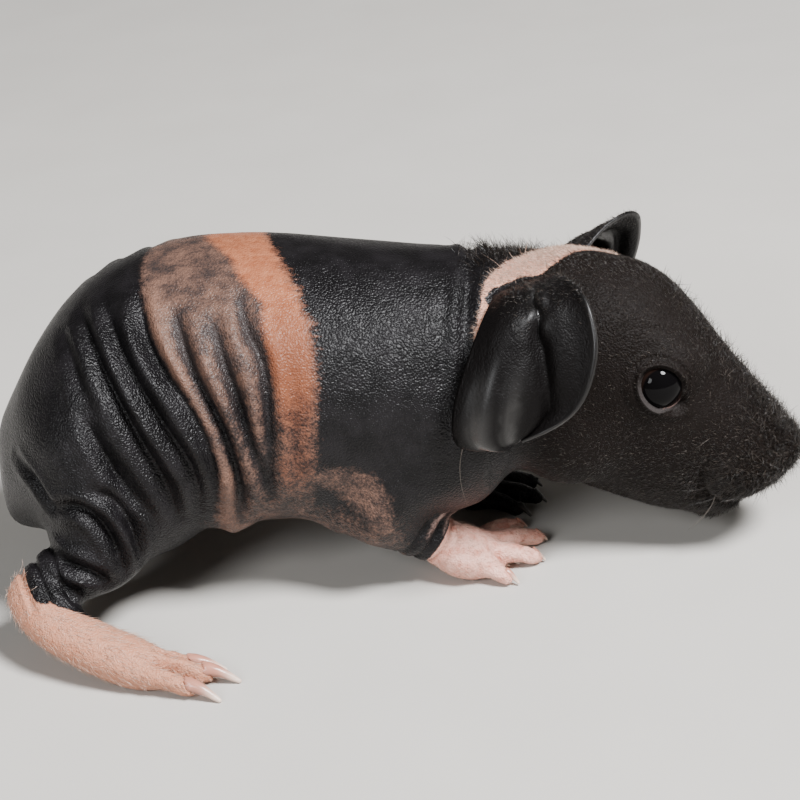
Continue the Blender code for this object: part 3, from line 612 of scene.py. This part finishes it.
def within(points, stations, soft):
    """1 inside a tube through stations of place and radius, fading over the soft share past it."""
    rows = spline(stations, 8 * len(stations))
    nearest = np.full(len(points), 1e9)
    for row in rows:
        nearest = np.minimum(nearest, distances(points, row[:3]) / row[3])
    return smoothstep(1 + soft, 1 - soft, nearest)


def markings(points):
    """The masks of every marking at these points of the model."""
    body, head = in_body(points), in_head(points)
    angle = np.degrees(np.arctan2(-body[:, 1], body[:, 2] - TRUNK_AXIS))
    turned = np.abs(angle)
    x = body[:, 0]
    trunk = smoothstep(2.0, 6.0, body[:, 2])
    front, back = girdle_edge(angle, GIRDLE_FRONT), girdle_edge(angle, GIRDLE_BACK)
    mottle_back = girdle_edge(angle, MOTTLE_BACK)
    fading = smoothstep(135, 104, turned) * (0.42 + 0.58 * smoothstep(94, 60, turned))
    clean = smoothstep(front + 1.7, front - 1.7, x) * smoothstep(back - 1.8, back + 1.8, x) * fading * trunk
    mottle = smoothstep(front + 1.8, front - 1.2, x) * smoothstep(mottle_back - 2.2, mottle_back + 1.6, x)
    mottle *= trunk * (0.6 + 0.4 * smoothstep(92, 50, turned))
    underside = 0.55 * smoothstep(118, 136, turned) * trunk
    underside *= smoothstep(-34, -26, x) * smoothstep(5, -3, x)
    low = np.maximum(within(body, LOW_PATCH, 0.6) * 0.62, underside)
    groin = within(body, GROIN, 0.7)
    feet = np.zeros(len(points))
    for stations in PINK_FEET.values():
        feet = np.maximum(feet, within(body, stations, 0.12))
    rosy = within(body, ROSY_ROLL, 0.7) * smoothstep(4, -4, body[:, 1])
    along, away = round_limb(body, *WRISTS[0])
    rolls = 0.5 - 0.5 * np.cos(2 * np.pi * (along - WRIST_CREASE) / WRIST_ROLL)
    rolls *= smoothstep(WRIST_CREASE - 0.4, WRIST_CREASE + 0.6, along) * smoothstep(7.5, 6.0, away)
    rolls *= smoothstep(-2.5, 2.5, body[:, 2] - np.interp(along, [0, 11.4], [13.4, 5.8]))
    on, s, t = on_ear(points)
    low_down = smoothstep(0.45, 0.62, t) * smoothstep(1.0, 0.93, t)
    back_band = bell(s + 0.60, 0.20)
    fold_band = 0.9 * bell(s + 0.14, 0.15)
    knobs = bell(s - 0.1, 0.16) * bell(t - 0.28, 0.12)
    rim = 0.6 * smoothstep(0.84, 0.95, s)
    snout = smoothstep(16, 34, head[:, 0]) * (body[:, 0] > 30)
    lids, wet = np.zeros(len(points)), np.zeros(len(points))
    for side in (-1, 1):
        local, out = lid_shape(points, side)
        bearing = np.degrees(np.arctan2(local[:, 1], local[:, 0]))
        ring = smoothstep(1.32, 1.18, out) * (local[:, 2] > 0.5) * (out > 0.95)
        lids = np.maximum(lids, ring * (0.15 + 0.85 * smoothstep(0.1, -0.5, np.sin(np.radians(bearing)))))
        corner = smoothstep(-62, -48, bearing) * smoothstep(0, -12, bearing) * (local[:, 2] > 0.5)
        wet = np.maximum(wet, corner * smoothstep(0.90, 0.96, out) * smoothstep(1.12, 1.06, out))
    return {
        "clean": clean,
        "mottle": np.max([mottle, low, groin, 0.85 * rosy], axis=0),
        "rosy": np.maximum(rosy, groin),
        "pale": within(body, STRIPE, 0.25) * (1 - on),
        "pink": feet,
        "blush": rolls * (1 - feet) * (along < 10.5),
        "hind": smoothstep(-18, -22, x),
        "shaded": smoothstep(28, 66, turned),
        "ear": on * smoothstep(0.12, 0.25, t),
        "gloss": on * np.max([back_band * low_down, fold_band * low_down, knobs, rim], axis=0),
        "brown": np.maximum(snout, 0.8 * smoothstep(14, 24, body[:, 0])) * (1 - on),
        "lid": lids,
        "wet": wet,
    }


class Field:
    """One output of a material's nodes; sums and products of fields add their Math nodes."""

    def __init__(self, tree, socket):
        self.tree = tree
        self.socket = socket

    def node(self, kind, settings=None, inputs=None, output=0):
        """The output of another node: its settings come first, then its sockets' values or links."""
        made = self.tree.nodes.new(kind)
        for key, value in (settings or {}).items():
            setattr(made, key, value)
        for key, value in (inputs or {}).items():
            feed(made, key, value)
        return Field(self.tree, made.outputs[output])

    def maths(self, operation, *values):
        return self.node("ShaderNodeMath", {"operation": operation}, dict(enumerate((self, *values))))

    def __add__(self, other):
        return self.maths("ADD", other)

    def __sub__(self, other):
        return self.maths("SUBTRACT", other)

    def __mul__(self, other):
        return self.maths("MULTIPLY", other)

    def __rsub__(self, other):
        return self.node("ShaderNodeMath", {"operation": "SUBTRACT"}, {0: other, 1: self})

    def __radd__(self, other):
        return self + other

    def between(self, low, high):
        """0 below low and 1 above high, smoothly."""
        settings = {"interpolation_type": "SMOOTHSTEP"}
        inputs = {"Value": self, "From Min": low, "From Max": high}
        return self.node("ShaderNodeMapRange", settings, inputs)

    def choose(self, first, second):
        """The first colour where this field is 0 and the second where it is 1."""
        return self.node("ShaderNodeMix", {"data_type": "RGBA"}, {0: self, 6: first, 7: second}, output=2)

    def noise(self, scale, detail=2.0, roughness=0.5, stretch=None):
        """Noise over these coordinates; stretch squeezes it along each axis."""
        place = self
        if stretch:
            place = self.node("ShaderNodeMapping", {}, {"Vector": self, "Scale": stretch})
        inputs = {"Vector": place, "Scale": scale, "Detail": detail, "Roughness": roughness}
        return self.node("ShaderNodeTexNoise", {}, inputs)


def new_material(name):
    """A bare material: its shader, and the object's own coordinates."""
    made = bpy.data.materials.new(name)
    made.use_nodes = True
    tree = made.node_tree
    shader = tree.nodes["Principled BSDF"]
    coordinates = Field(tree, tree.nodes.new("ShaderNodeTexCoord").outputs["Object"])
    return made, shader, coordinates


def feed(node, socket, value):
    """Give a node's socket a field or a plain value."""
    if isinstance(value, Field):
        value.tree.links.new(value.socket, node.inputs[socket])
    else:
        node.inputs[socket].default_value = value


def marking(place, name):
    return place.node("ShaderNodeAttribute", {"attribute_name": name}, output=2)


CHARCOAL = (0.0032, 0.0028, 0.0032, 1)
SLATE = (0.0075, 0.0066, 0.0075, 1)
UMBER = (0.0050, 0.0030, 0.0021, 1)
FLESH_PINK = (0.225, 0.072, 0.033, 1)
FLESH_LIGHT = (0.30, 0.112, 0.057, 1)
FLESH_SHADED = (0.125, 0.040, 0.019, 1)
FLESH_DULL = (0.165, 0.090, 0.064, 1)
ASHEN = (0.028, 0.021, 0.020, 1)
CREAM = (0.52, 0.265, 0.185, 1)
FOOT_PINK = (0.72, 0.41, 0.33, 1)
FOOT_DEEP = (0.52, 0.21, 0.155, 1)
FOOT_TAN = (0.36, 0.150, 0.080, 1)
WRIST_PALE = (0.30, 0.20, 0.175, 1)
LID_GREY = (0.030, 0.026, 0.025, 1)
# Partly painted glint: the inner eye corner's own pink, which also lightens the shade in its deep hollow.
CORNER_PINK_AND_GLINT = (0.14, 0.09, 0.08, 1)
EAR_BLACK = (0.0026, 0.0021, 0.0021, 1)


def hide_colour(place):
    """The colour of the hide from its markings, with blotched and speckled edges."""
    broad = place.noise(260, 3, 0.6)
    blotch = place.noise(700, 4, 0.65)
    speckle = place.noise(2600, 2, 0.6)
    ragged = (blotch - 0.5) * 0.8 + (speckle - 0.5) * 0.9
    dark = broad.between(0.35, 0.7).choose(CHARCOAL, SLATE)
    dark = marking(place, "brown").choose(dark, UMBER)
    dark = marking(place, "ear").choose(dark, EAR_BLACK)
    flesh = blotch.between(0.3, 0.7).choose(FLESH_PINK, FLESH_LIGHT)
    flesh = (marking(place, "shaded") * (0.5 + broad * 0.5)).choose(flesh, FLESH_SHADED)
    # Painted crease shade: the deeper a crease, the more its mottle, flesh patches and girdle flesh give way
    # to darker colour.
    valley = marking(place, "valley")
    patches = broad * 0.42 + blotch * 0.28 + speckle * 0.3 + marking(place, "rosy") * 0.07 - valley * 0.3
    mixed = patches.between(0.36, 0.72).choose(ASHEN, FLESH_DULL)
    colour = (marking(place, "mottle") + ragged * 0.7 - valley * 0.35).between(0.25, 0.8).choose(dark, mixed)
    colour = (marking(place, "clean") + ragged * 0.7 - valley * 0.2).between(0.18, 0.85).choose(colour, flesh)
    colour = (marking(place, "blush") * 0.75 + ragged * 0.9).between(0.3, 1.0).choose(colour, WRIST_PALE)
    colour = (marking(place, "pale") + ragged * 0.9).between(0.35, 0.7).choose(colour, CREAM)
    foot = blotch.between(0.35, 0.75).choose(FOOT_PINK, FOOT_DEEP)
    foot = (marking(place, "hind") * 0.8).choose(foot, FOOT_TAN)
    colour = (marking(place, "pink") + ragged * 0.35).between(0.4, 0.6).choose(colour, foot)
    colour = marking(place, "lid").choose(colour, LID_GREY)
    # The wet inner corner is partly its own pink and partly a painted glint that lightens the shade in its
    # deep hollow.
    return (marking(place, "wet") * speckle.between(0.3, 0.6)).choose(colour, CORNER_PINK_AND_GLINT)


def hide_material():
    made, shader, place = new_material("hide")
    colour = hide_colour(place)
    feed(shader, "Base Color", colour)
    pebbles = place.node("ShaderNodeTexVoronoi", {"feature": "SMOOTH_F1"}, {"Vector": place, "Scale": 3700.0})
    grain = place.noise(7000, 2, 0.6)
    crepe = place.noise(1300, 3, 0.6, stretch=(1.4, 0.7, 0.6))
    ear_mask = marking(place, "ear")
    smooth = (1 - ear_mask * 0.5) * (1 - marking(place, "brown") * 0.2)
    veins = place.noise(620, 3, 0.55, stretch=(1.0, 1.0, 0.4)) * ear_mask
    height = (crepe * 0.00007 - pebbles * 0.00018) * smooth + grain * 0.00004 + veins * 0.00022
    bump = place.node("ShaderNodeBump", {}, {"Height": height, "Distance": 1.0, "Strength": 1.0})
    feed(shader, "Normal", bump)
    rough = 0.25 + place.noise(1500, 3, 0.6) * 0.16 + ear_mask * 0.12 - marking(place, "wet") * 0.2
    feed(shader, "Roughness", rough + marking(place, "brown") * 0.26)
    feed(shader, "Coat Weight", marking(place, "gloss"))
    feed(shader, "Coat Roughness", 0.33)
    feed(shader, "Specular IOR Level", 0.17)
    matte = place.node("ShaderNodeBsdfPrincipled", {}, {
        "Base Color": colour, "Normal": bump, "Specular IOR Level": 0.02, "Roughness": 0.7})
    dull = marking(place, "brown") * 0.74 + (ear_mask - marking(place, "gloss")).between(0.0, 1.0) * 0.55
    shiny = Field(place.tree, shader.outputs["BSDF"])
    blend = place.node("ShaderNodeMixShader", {}, {0: dull, 1: shiny, 2: matte})
    feed(place.tree.nodes["Material Output"], "Surface", blend)
    return made


for name, values in markings(points_of(skin)).items():
    mark(skin, name, values)
skin.data.materials.clear()
skin.data.materials.append(hide_material())


# The eyes. Each is a wet black bead with a low clear bulge in front, a dark brown iris round its wide
# pupil, and a duller white that only shows at its very edge. Half hidden, it fills the lids.
def eye_material():
    made, shader, place = new_material("wet_eye")
    iris = marking(place, "iris")
    colour = iris.between(0.5, 0.62).choose((0.009, 0.005, 0.004, 1), (0.002, 0.0018, 0.002, 1))
    colour = iris.between(0.02, 0.08).choose((0.014, 0.010, 0.009, 1), colour)
    feed(shader, "Base Color", colour)
    feed(shader, "Roughness", 0.03)
    feed(shader, "IOR", 1.36)
    feed(shader, "Specular IOR Level", 0.12)
    return made


wet_eye = eye_material()
for side, node in ((-1, "eye_right"), (1, "eye_left")):
    bpy.ops.mesh.primitive_uv_sphere_add(segments=64, ring_count=48, radius=EYE_RADIUS * MM)
    ball = bpy.context.object
    ball.name = "bead_" + node
    local = points_of(ball)
    height = local[:, 2] / (EYE_RADIUS * MM)
    local *= (1 + 0.035 * smoothstep(0.55, 0.95, height))[:, None]
    set_points(ball, moved(local, eye_matrix(side)))
    mark(ball, "iris", smoothstep(0.45, 1.0, height))
    ball.data.materials.append(wet_eye)
    ball.data.shade_smooth()
    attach(ball, "root")
    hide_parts(node)


# The claws. Short, blunt and curved, of pale pinkish horn with a darker quick at the root. Each is a
# rounded copy of its solid, its root sunk back into the toe.
def claw_material():
    made, shader, place = new_material("claw_horn")
    streak = place.noise(1400, 3, 0.6, stretch=(0.3, 1, 1))
    tip = marking(place, "tip")
    colour = tip.between(0.45, 1.0).choose((0.40, 0.17, 0.12, 1), (0.68, 0.54, 0.45, 1))
    colour = (streak.between(0.4, 0.8) * 0.35).choose(colour, (0.30, 0.17, 0.13, 1))
    dusky = tip.between(0.3, 1.0).choose((0.006, 0.005, 0.004, 1), (0.030, 0.022, 0.018, 1))
    feed(shader, "Base Color", marking(place, "dusky").choose(colour, dusky))
    bump = place.node("ShaderNodeBump", {}, {"Height": streak, "Distance": 0.00008, "Strength": 1.0})
    feed(shader, "Normal", bump)
    feed(shader, "Roughness", 0.3)
    return made


claw_horn = claw_material()
CLAWS = [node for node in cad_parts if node.startswith("claw")]
for node in CLAWS:
    nail = node_copy(node, "nail_" + node[5:])
    fore = "front" in node
    apply_modifier(nail, "SUBSURF", levels=2, render_levels=2)
    apply_modifier(nail, "DISPLACE", strength=(0.13 if fore else 0.22) * MM, mid_level=0)
    foot_low, foot_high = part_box("foot_" + node[5:-2])
    points = points_of(nail)
    onward = np.array(middle_of(node) - (foot_low + foot_high) / 2) * [1, 1, 0]
    onward /= np.linalg.norm(onward)
    along = points @ onward
    share = (along - along.min()) / np.ptp(along)
    shorter, droop = (1.2, 0.1) if fore else (-0.1, 0.25)
    points -= onward * ((0.9 * (1 - share) + shorter * share) * MM)[:, None]
    points[:, 2] += (0.3 * (1 - share) - droop * share) * MM
    set_points(nail, points)
    mark(nail, "tip", share)
    mark(nail, "dusky", np.full(len(points), float("front_left" in node)))
    nail.data.materials.append(claw_horn)
    nail.data.shade_smooth()
    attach(nail, "root")
    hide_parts(node)


# The coat. All but bare, the pup keeps a short fuzz on the face and crown, curly along the nose, a few
# upright tufts on the nape, a pale nap on its stripe and fine hairs on the feet. Each hair is a
# tapered three-sided spike set in the skin, and those of one growth are joined into one piece.
SEED = np.random.default_rng(27)
# A hair's spot on the unwrap, how deep its root is set, and how far its tip stays off the floor.
PATCH = 0.003
ROOT_DEPTH = 0.00012
FLOOR_GAP = 0.3 * MM


def unwrap(obj):
    """Each loop's place on an unwrap of the mesh that lays its faces out side by side."""
    edit_whole(obj, bpy.ops.uv.smart_project, angle_limit=math.radians(80), island_margin=0.0005)
    uv = np.zeros(len(obj.data.loops) * 2)
    obj.data.uv_layers.active.data.foreach_get("uv", uv)
    obj.data.uv_layers.remove(obj.data.uv_layers.active)
    return uv.reshape(-1, 2)


class Hide:
    """The skin as triangles to sow hairs on."""

    def __init__(self, obj):
        self.places, self.normals = points_of(obj), normals_of(obj)
        self.uv = unwrap(obj)
        obj.data.calc_loop_triangles()
        count = len(obj.data.loop_triangles)
        self.corners, self.loops = np.zeros(count * 3, int), np.zeros(count * 3, int)
        obj.data.loop_triangles.foreach_get("vertices", self.corners)
        obj.data.loop_triangles.foreach_get("loops", self.loops)
        self.corners, self.loops = self.corners.reshape(-1, 3), self.loops.reshape(-1, 3)
        a, b, c = (self.places[self.corners[:, k]] for k in range(3))
        self.areas = np.linalg.norm(np.cross(b - a, c - a), axis=1) / 2

    def sow(self, density, count):
        """Roots, normals and unwrapped places of that many hairs, spread by a density for each point."""
        shares = self.areas * density[self.corners].mean(axis=1)
        faces = SEED.choice(len(shares), count, p=shares / shares.sum())
        weights = SEED.dirichlet((1, 1, 1), count)[:, :, None]
        roots = (self.places[self.corners[faces]] * weights).sum(axis=1)
        normals = (self.normals[self.corners[faces]] * weights).sum(axis=1)
        flat = (self.uv[self.loops[faces]] * weights).sum(axis=1)
        return roots, unit(normals), flat


def spokes_round(sideways, over, turns):
    """Vectors out from each point of an axis, one for each turn round it."""
    return sideways[:, None] * np.cos(turns)[:, None] + over[:, None] * np.sin(turns)[:, None]


def coat_piece(name, mesh):
    """A piece of that mesh, smooth and in the coat's material."""
    piece = bpy.data.objects.new(name, mesh)
    bpy.context.scene.collection.objects.link(piece)
    mesh.shade_smooth()
    mesh.materials.append(coat_hair)
    return piece


def hairs(name, roots, normals, flat, lie, lift, length, width, curl, rings=2):
    """One mesh of hairs that leave the skin at an angle, lift, from their lie, and curl back or over."""
    count = len(roots)
    lie = unit(lie - normals * (lie * normals).sum(axis=1)[:, None])
    start = lie * np.cos(lift)[:, None] + normals * np.sin(lift)[:, None]
    sideways = unit(np.cross(start, normals + 0.01))
    bend = lie * curl[:, :1] + sideways * curl[:, 1:2] + normals * curl[:, 2:]
    steps = np.append(np.arange(rings) / rings, 1.0)
    along = start[:, None] * steps[None, :, None] + bend[:, None] * (steps**2)[None, :, None]
    drop = np.maximum(-along[:, :, 2].min(axis=1) * length, 1e-6)
    length = length * np.clip((roots[:, 2] - FLOOR_GAP) / drop, 0.05, 1)
    spine = roots[:, None] - normals[:, None] * ROOT_DEPTH + along * length[:, None, None]
    spokes = spokes_round(sideways, np.cross(start, sideways), np.radians([0, 120, 240]))
    taper = (1 - steps[:rings]) ** 0.6
    tube = spine[:, :rings, None] + spokes[:, None] * (width[:, None] / 2 * taper)[:, :, None, None]
    places = np.concatenate([tube.reshape(count, -1, 3), spine[:, -1:]], axis=1)
    each = rings * 3 + 1
    corners = [2, 1, 0]
    for ring in range(rings - 1):
        for k in range(3):
            low, high = ring * 3 + k, ring * 3 + (k + 1) % 3
            corners += [low, high, high + 3, low, high + 3, low + 3]
    for k in range(3):
        corners += [rings * 3 - 3 + k, rings * 3 - 3 + (k + 1) % 3, rings * 3]
    faces = (np.array(corners)[None] + np.arange(count)[:, None] * each).ravel()
    mesh = bpy.data.meshes.new(name)
    mesh.vertices.add(count * each)
    mesh.vertices.foreach_set("co", places.ravel())
    mesh.loops.add(len(faces))
    mesh.loops.foreach_set("vertex_index", faces)
    mesh.polygons.add(len(faces) // 3)
    mesh.polygons.foreach_set("loop_start", np.arange(0, len(faces), 3))
    mesh.update(calc_edges=True)
    across = np.append(np.tile([-0.5, 0.0, 0.5], rings), 0.0)
    upward = np.append(np.repeat(np.arange(rings) / rings, 3), 1.0) - 0.5
    spots = flat[:, None] + np.stack([across, upward], axis=1)[None] * PATCH
    layer = mesh.uv_layers.new(name="OFBake")
    layer.data.foreach_set("uv", spots.reshape(-1, 2)[faces].ravel())
    piece = coat_piece(name, mesh)
    masks = markings(roots)
    for key in ("pale", "pink"):
        mark(piece, key, np.repeat(masks[key], each))
    mark(piece, "tone", np.repeat(SEED.random(count), each))
    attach(piece, "root")


def coat_material():
    made, shader, place = new_material("coat_hair")
    tone = marking(place, "tone")
    dark = tone.choose((0.003, 0.0022, 0.0018, 1), (0.014, 0.009, 0.006, 1))
    # Painted glints: dark hairs whose tone is above 0.8 turn light grey to stand for glints of light on the
    # fuzz; the hanging whiskers and the stray hair, at tone 1, wear this grey as their own pale colour.
    dark = tone.between(0.80, 1.0).choose(dark, (0.090, 0.074, 0.062, 1))
    pale = tone.choose((0.34, 0.205, 0.150, 1), (0.68, 0.50, 0.40, 1))
    light = (marking(place, "pale") + marking(place, "pink")).between(0.35, 0.6)
    feed(shader, "Base Color", light.choose(dark, pale))
    feed(shader, "Roughness", 0.32)
    feed(shader, "Specular IOR Level", 0.45)
    return made


coat_hair = coat_material()
hide = Hide(skin)
body, head = in_body(hide.places), in_head(hide.places)
masks = markings(hide.places)
on_ears, _, ear_t = on_ear(hide.places)
off_ears = 1 - on_ears * smoothstep(0.2, 0.45, ear_t)
off_lids = np.ones(len(body))
for side in (-1, 1):
    local, out = lid_shape(hide.places, side)
    off_lids *= 1 - (out < 1.25) * (local[:, 2] > 0)
head_zone = smoothstep(15, 21, body[:, 0]) * ((body[:, 2] > 9) | (body[:, 0] > 30)) * off_ears * off_lids
snout = smoothstep(18, 32, head[:, 0])
ridge = bell(head[:, 1], 4.5) * (head[:, 2] > 3) * smoothstep(4, 14, head[:, 0])
BACKWARD = np.array(HEAD_TURN @ Vector((-1, 0, -0.25)))


def no_change(roots):
    """No more lift and no more length for any hair."""
    return 0, 0


def growth(name, count, density, lie, spread, lift, length, width, curl, rings=2, change=no_change):
    """Sow that many hairs and raise them: lift in degrees, length and width in millimetres, each a
    range; their lies stray by the spread and their tips by the curl."""
    roots, normals, flat = hide.sow(density, count)
    lies = np.asarray(lie) + SEED.normal(0, spread, (count, 3))
    more_lift, more_length = change(roots)
    lifts = np.radians(SEED.uniform(*lift, count) + more_lift)
    lengths = SEED.uniform(*length, count) * (1 + more_length) * MM
    widths = SEED.uniform(*width, count) * MM
    curls = SEED.normal(0, 1, (count, 3)) * curl
    hairs(name, roots, normals, flat, lies, lifts, lengths, widths, curls, rings)


def bolder_on_snout(roots):
    on_snout = smoothstep(20, 34, in_head(roots)[:, 0])
    return 14 * on_snout, 0.35 * on_snout


def longer_on_hind_feet(roots):
    return 0, 0.7 * (in_body(roots)[:, 0] < -20)


FUZZ, RIDGE, NAPE, NAP, FEET = 16000, 4200, 800, 5200, 6500
UPPER, NEAR = smoothstep(-2, 6, head[:, 2]), smoothstep(2, -2, head[:, 1])
for part, share in (("crown_right", UPPER * NEAR), ("crown_left", UPPER * (1 - NEAR)),
                    ("cheek_right", (1 - UPPER) * NEAR), ("cheek_left", (1 - UPPER) * (1 - NEAR))):
    density = head_zone * share * (0.35 + 0.65 * np.maximum(snout, smoothstep(4, 12, head[:, 2])))
    growth("fuzz_" + part, FUZZ, density, BACKWARD, 0.35, (8, 24), (0.55, 1.05), (0.06, 0.10),
           (0.15, 0.3, 0.08), change=bolder_on_snout)

density = head_zone * (ridge * (0.25 + snout) + 0.7 * smoothstep(30, 36, head[:, 0]) * (head[:, 2] > -1))
growth("nose_curls", RIDGE, density, BACKWARD, 0.8, (25, 65), (0.9, 2.0), (0.06, 0.10),
       (0.5, 0.5, 0.3), rings=4)

density = smoothstep(10, 15, body[:, 0]) * smoothstep(30, 20, body[:, 0]) * (body[:, 2] > 38) * off_ears
density *= bell(body[:, 1] - 2, 6.0) * (1 - masks["pale"])
growth("nape_tufts", NAPE, density, (-0.6, 0, 0.6), 0.6, (30, 75), (1.0, 2.4), (0.055, 0.09),
       (0.4, 0.4, 0.2), rings=4)

growth("stripe_nap", NAP, masks["pale"] ** 2 * off_ears + 1e-9, (-0.8, -0.2, -0.3), 0.4, (12, 40),
       (0.6, 1.2), (0.05, 0.08), (0.15, 0.3, 0.1))

density = masks["pink"] * smoothstep(0.6, 1.8, body[:, 2]) + 0.25 * (body[:, 2] < 7) * (body[:, 0] > 0)
growth("feet_hairs", FEET, density * (body[:, 2] > 0.8) * (body[:, 2] < 16), (1.0, -0.15, -0.35), 0.25,
       (6, 24), (0.6, 1.5), (0.045, 0.075), (0.1, 0.15, 0.08), change=longer_on_hind_feet)


# The whiskers. A few thin springy bristles curl back from the pads beside the mouth, one hangs below
# the near pad, and a stray one hangs under the near ear. Each is a round tapered tube, bent in a curve.
WHISKERS = [((31.4, 8.2, -0.8), (25, 15.5, -6)), ((30, 8.6, 0.8), (24, 16.5, -1.5)),
            ((33, 7.6, 0.6), (29.5, 13.5, -3.5)), ((32, 7.9, 2.2), (26.5, 15, 3)),
            ((28.6, 8.8, -0.6), (23.5, 14, -4.5))]
THIN, THICK = 0.11 * MM, 0.2 * MM
RINGS, SIDES = 14, 6
HANGING = [(29.9, 7.4, -2.6), (29.9, 8.1, -3.1), (30.9, 7.4, -6), (30.6, 8.4, -8.3), (29.6, 9.5, -10.8)]
STRAY_HAIR = [(10.6, -17.4, 27), (10, -18.7, 26.3), (9.3, -19.4, 23.5), (9.2, -19, 19.9),
              (9.7, -18, 16)]


def bristle(name, path, width, tone):
    """A tapered tube along a smooth curve through the path, in metres; tone 0 is dark and 1 pale."""
    spine = spline(path, RINGS)
    onward = unit(np.gradient(spine, axis=0))
    sideways = unit(np.cross(onward, (0.13, 0.21, 0.97)))
    turns = np.linspace(0, 2 * np.pi, SIDES, endpoint=False)
    spokes = spokes_round(sideways, np.cross(onward, sideways), turns)
    radius = width / 2 * (1 - 0.85 * np.linspace(0, 1, RINGS))
    places = (spine[:, None] + spokes * radius[:, None, None]).reshape(-1, 3)
    faces = [tuple(reversed(range(SIDES))), tuple(range(len(places) - SIDES, len(places)))]
    for ring in range(0, len(places) - SIDES, SIDES):
        for k in range(SIDES):
            low, high = ring + k, ring + (k + 1) % SIDES
            faces.append((low, high, high + SIDES, low + SIDES))
    mesh = bpy.data.meshes.new(name)
    mesh.from_pydata(places.tolist(), [], faces)
    piece = coat_piece(name, mesh)
    mark(piece, "tone", np.full(len(places), tone))
    return piece


whiskers = []
for side in (-1, 1):
    for index, (root, end) in enumerate(WHISKERS):
        root, end = (np.array(place) * [1, side, 1] for place in (root, end))
        inside = root - [0.3, 0.9 * side, 0]
        middle = (root * 0.45 + end * 0.55) + [1.4, 0.8 * side, 0.9 - 0.2 * index]
        path = [from_head(place) for place in (inside, root, middle, end)]
        whiskers.append(bristle(f"whisker_{side}_{index}", path, THIN, 0.6))
    path = [from_head(np.array(place) * [1, side, 1]) for place in HANGING]
    whiskers.append(bristle(f"hanging_{side}", path, THICK, 1.0))
stray = [np.array(place) * MM + np.array(STANCE) for place in STRAY_HAIR]
whiskers.append(bristle("stray_hair", stray, THICK, 1.0))
whiskers = join(whiskers, "whiskers")
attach(whiskers, "root")


# The floor it stands on: plain and pale.
def floor_material():
    made, shader, place = new_material("pale_floor")
    feed(shader, "Base Color", place.noise(40, 3).choose((0.43, 0.41, 0.38, 1), (0.48, 0.46, 0.43, 1)))
    feed(shader, "Roughness", 0.75)
    return made


bpy.ops.mesh.primitive_plane_add(size=6)
floor = bpy.context.object
floor.name = "floor"
floor.data.materials.append(floor_material())


# Light and camera. A round soft light hangs high, ahead and to the right of the animal, with a weak
# one on its right behind, and a dim pale surround. The camera looks from its right side, down at 27
# degrees and rolled by 6.
def soft_light(name, place, size, power, colour):
    bpy.ops.object.light_add(type="AREA", location=place)
    lamp = bpy.context.object
    lamp.name = name
    lamp.data.shape = "DISK"
    lamp.data.size = size
    lamp.data.energy = power
    lamp.data.color = colour
    lamp.rotation_euler = (Vector((0, 0, 0.03)) - Vector(place)).to_track_quat("-Z", "Y").to_euler()


soft_light("key", (0.44, -0.30, 0.78), 0.27, 31.0, (0.98, 0.985, 1.0))
soft_light("fill", (-0.42, -0.66, 0.52), 0.34, 6.0, (0.96, 0.98, 1.0))
world = bpy.data.worlds.new("surround")
bpy.context.scene.world = world
world.use_nodes = True
feed(world.node_tree.nodes["Background"], "Color", (0.95, 0.91, 0.86, 1))
feed(world.node_tree.nodes["Background"], "Strength", 0.16)

AZIMUTH, ELEVATION, ROLL = math.radians(5), math.radians(27), math.radians(6)
REACH = 0.32
SPAN = 800 / 6.6 * MM
back = Vector((math.sin(AZIMUTH) * math.cos(ELEVATION), -math.cos(AZIMUTH) * math.cos(ELEVATION),
               math.sin(ELEVATION)))
sideways = Vector((0, 0, 1)).cross(back).normalized()
upright = back.cross(sideways)
turned_side = sideways * math.cos(ROLL) - upright * math.sin(ROLL)
turned_up = sideways * math.sin(ROLL) + upright * math.cos(ROLL)
aim = STANCE + Vector((0, 0, 24.6)) * MM
bpy.ops.object.camera_add()
camera = bpy.context.object
camera.matrix_world = Matrix.Translation(aim + back * REACH) @ Matrix(
    (turned_side, turned_up, back)).transposed().to_4x4()
camera.data.sensor_width = 36
camera.data.lens = 36 * REACH / SPAN
camera.data.clip_start = 0.01
camera.data.clip_end = 20
bpy.context.scene.camera = camera
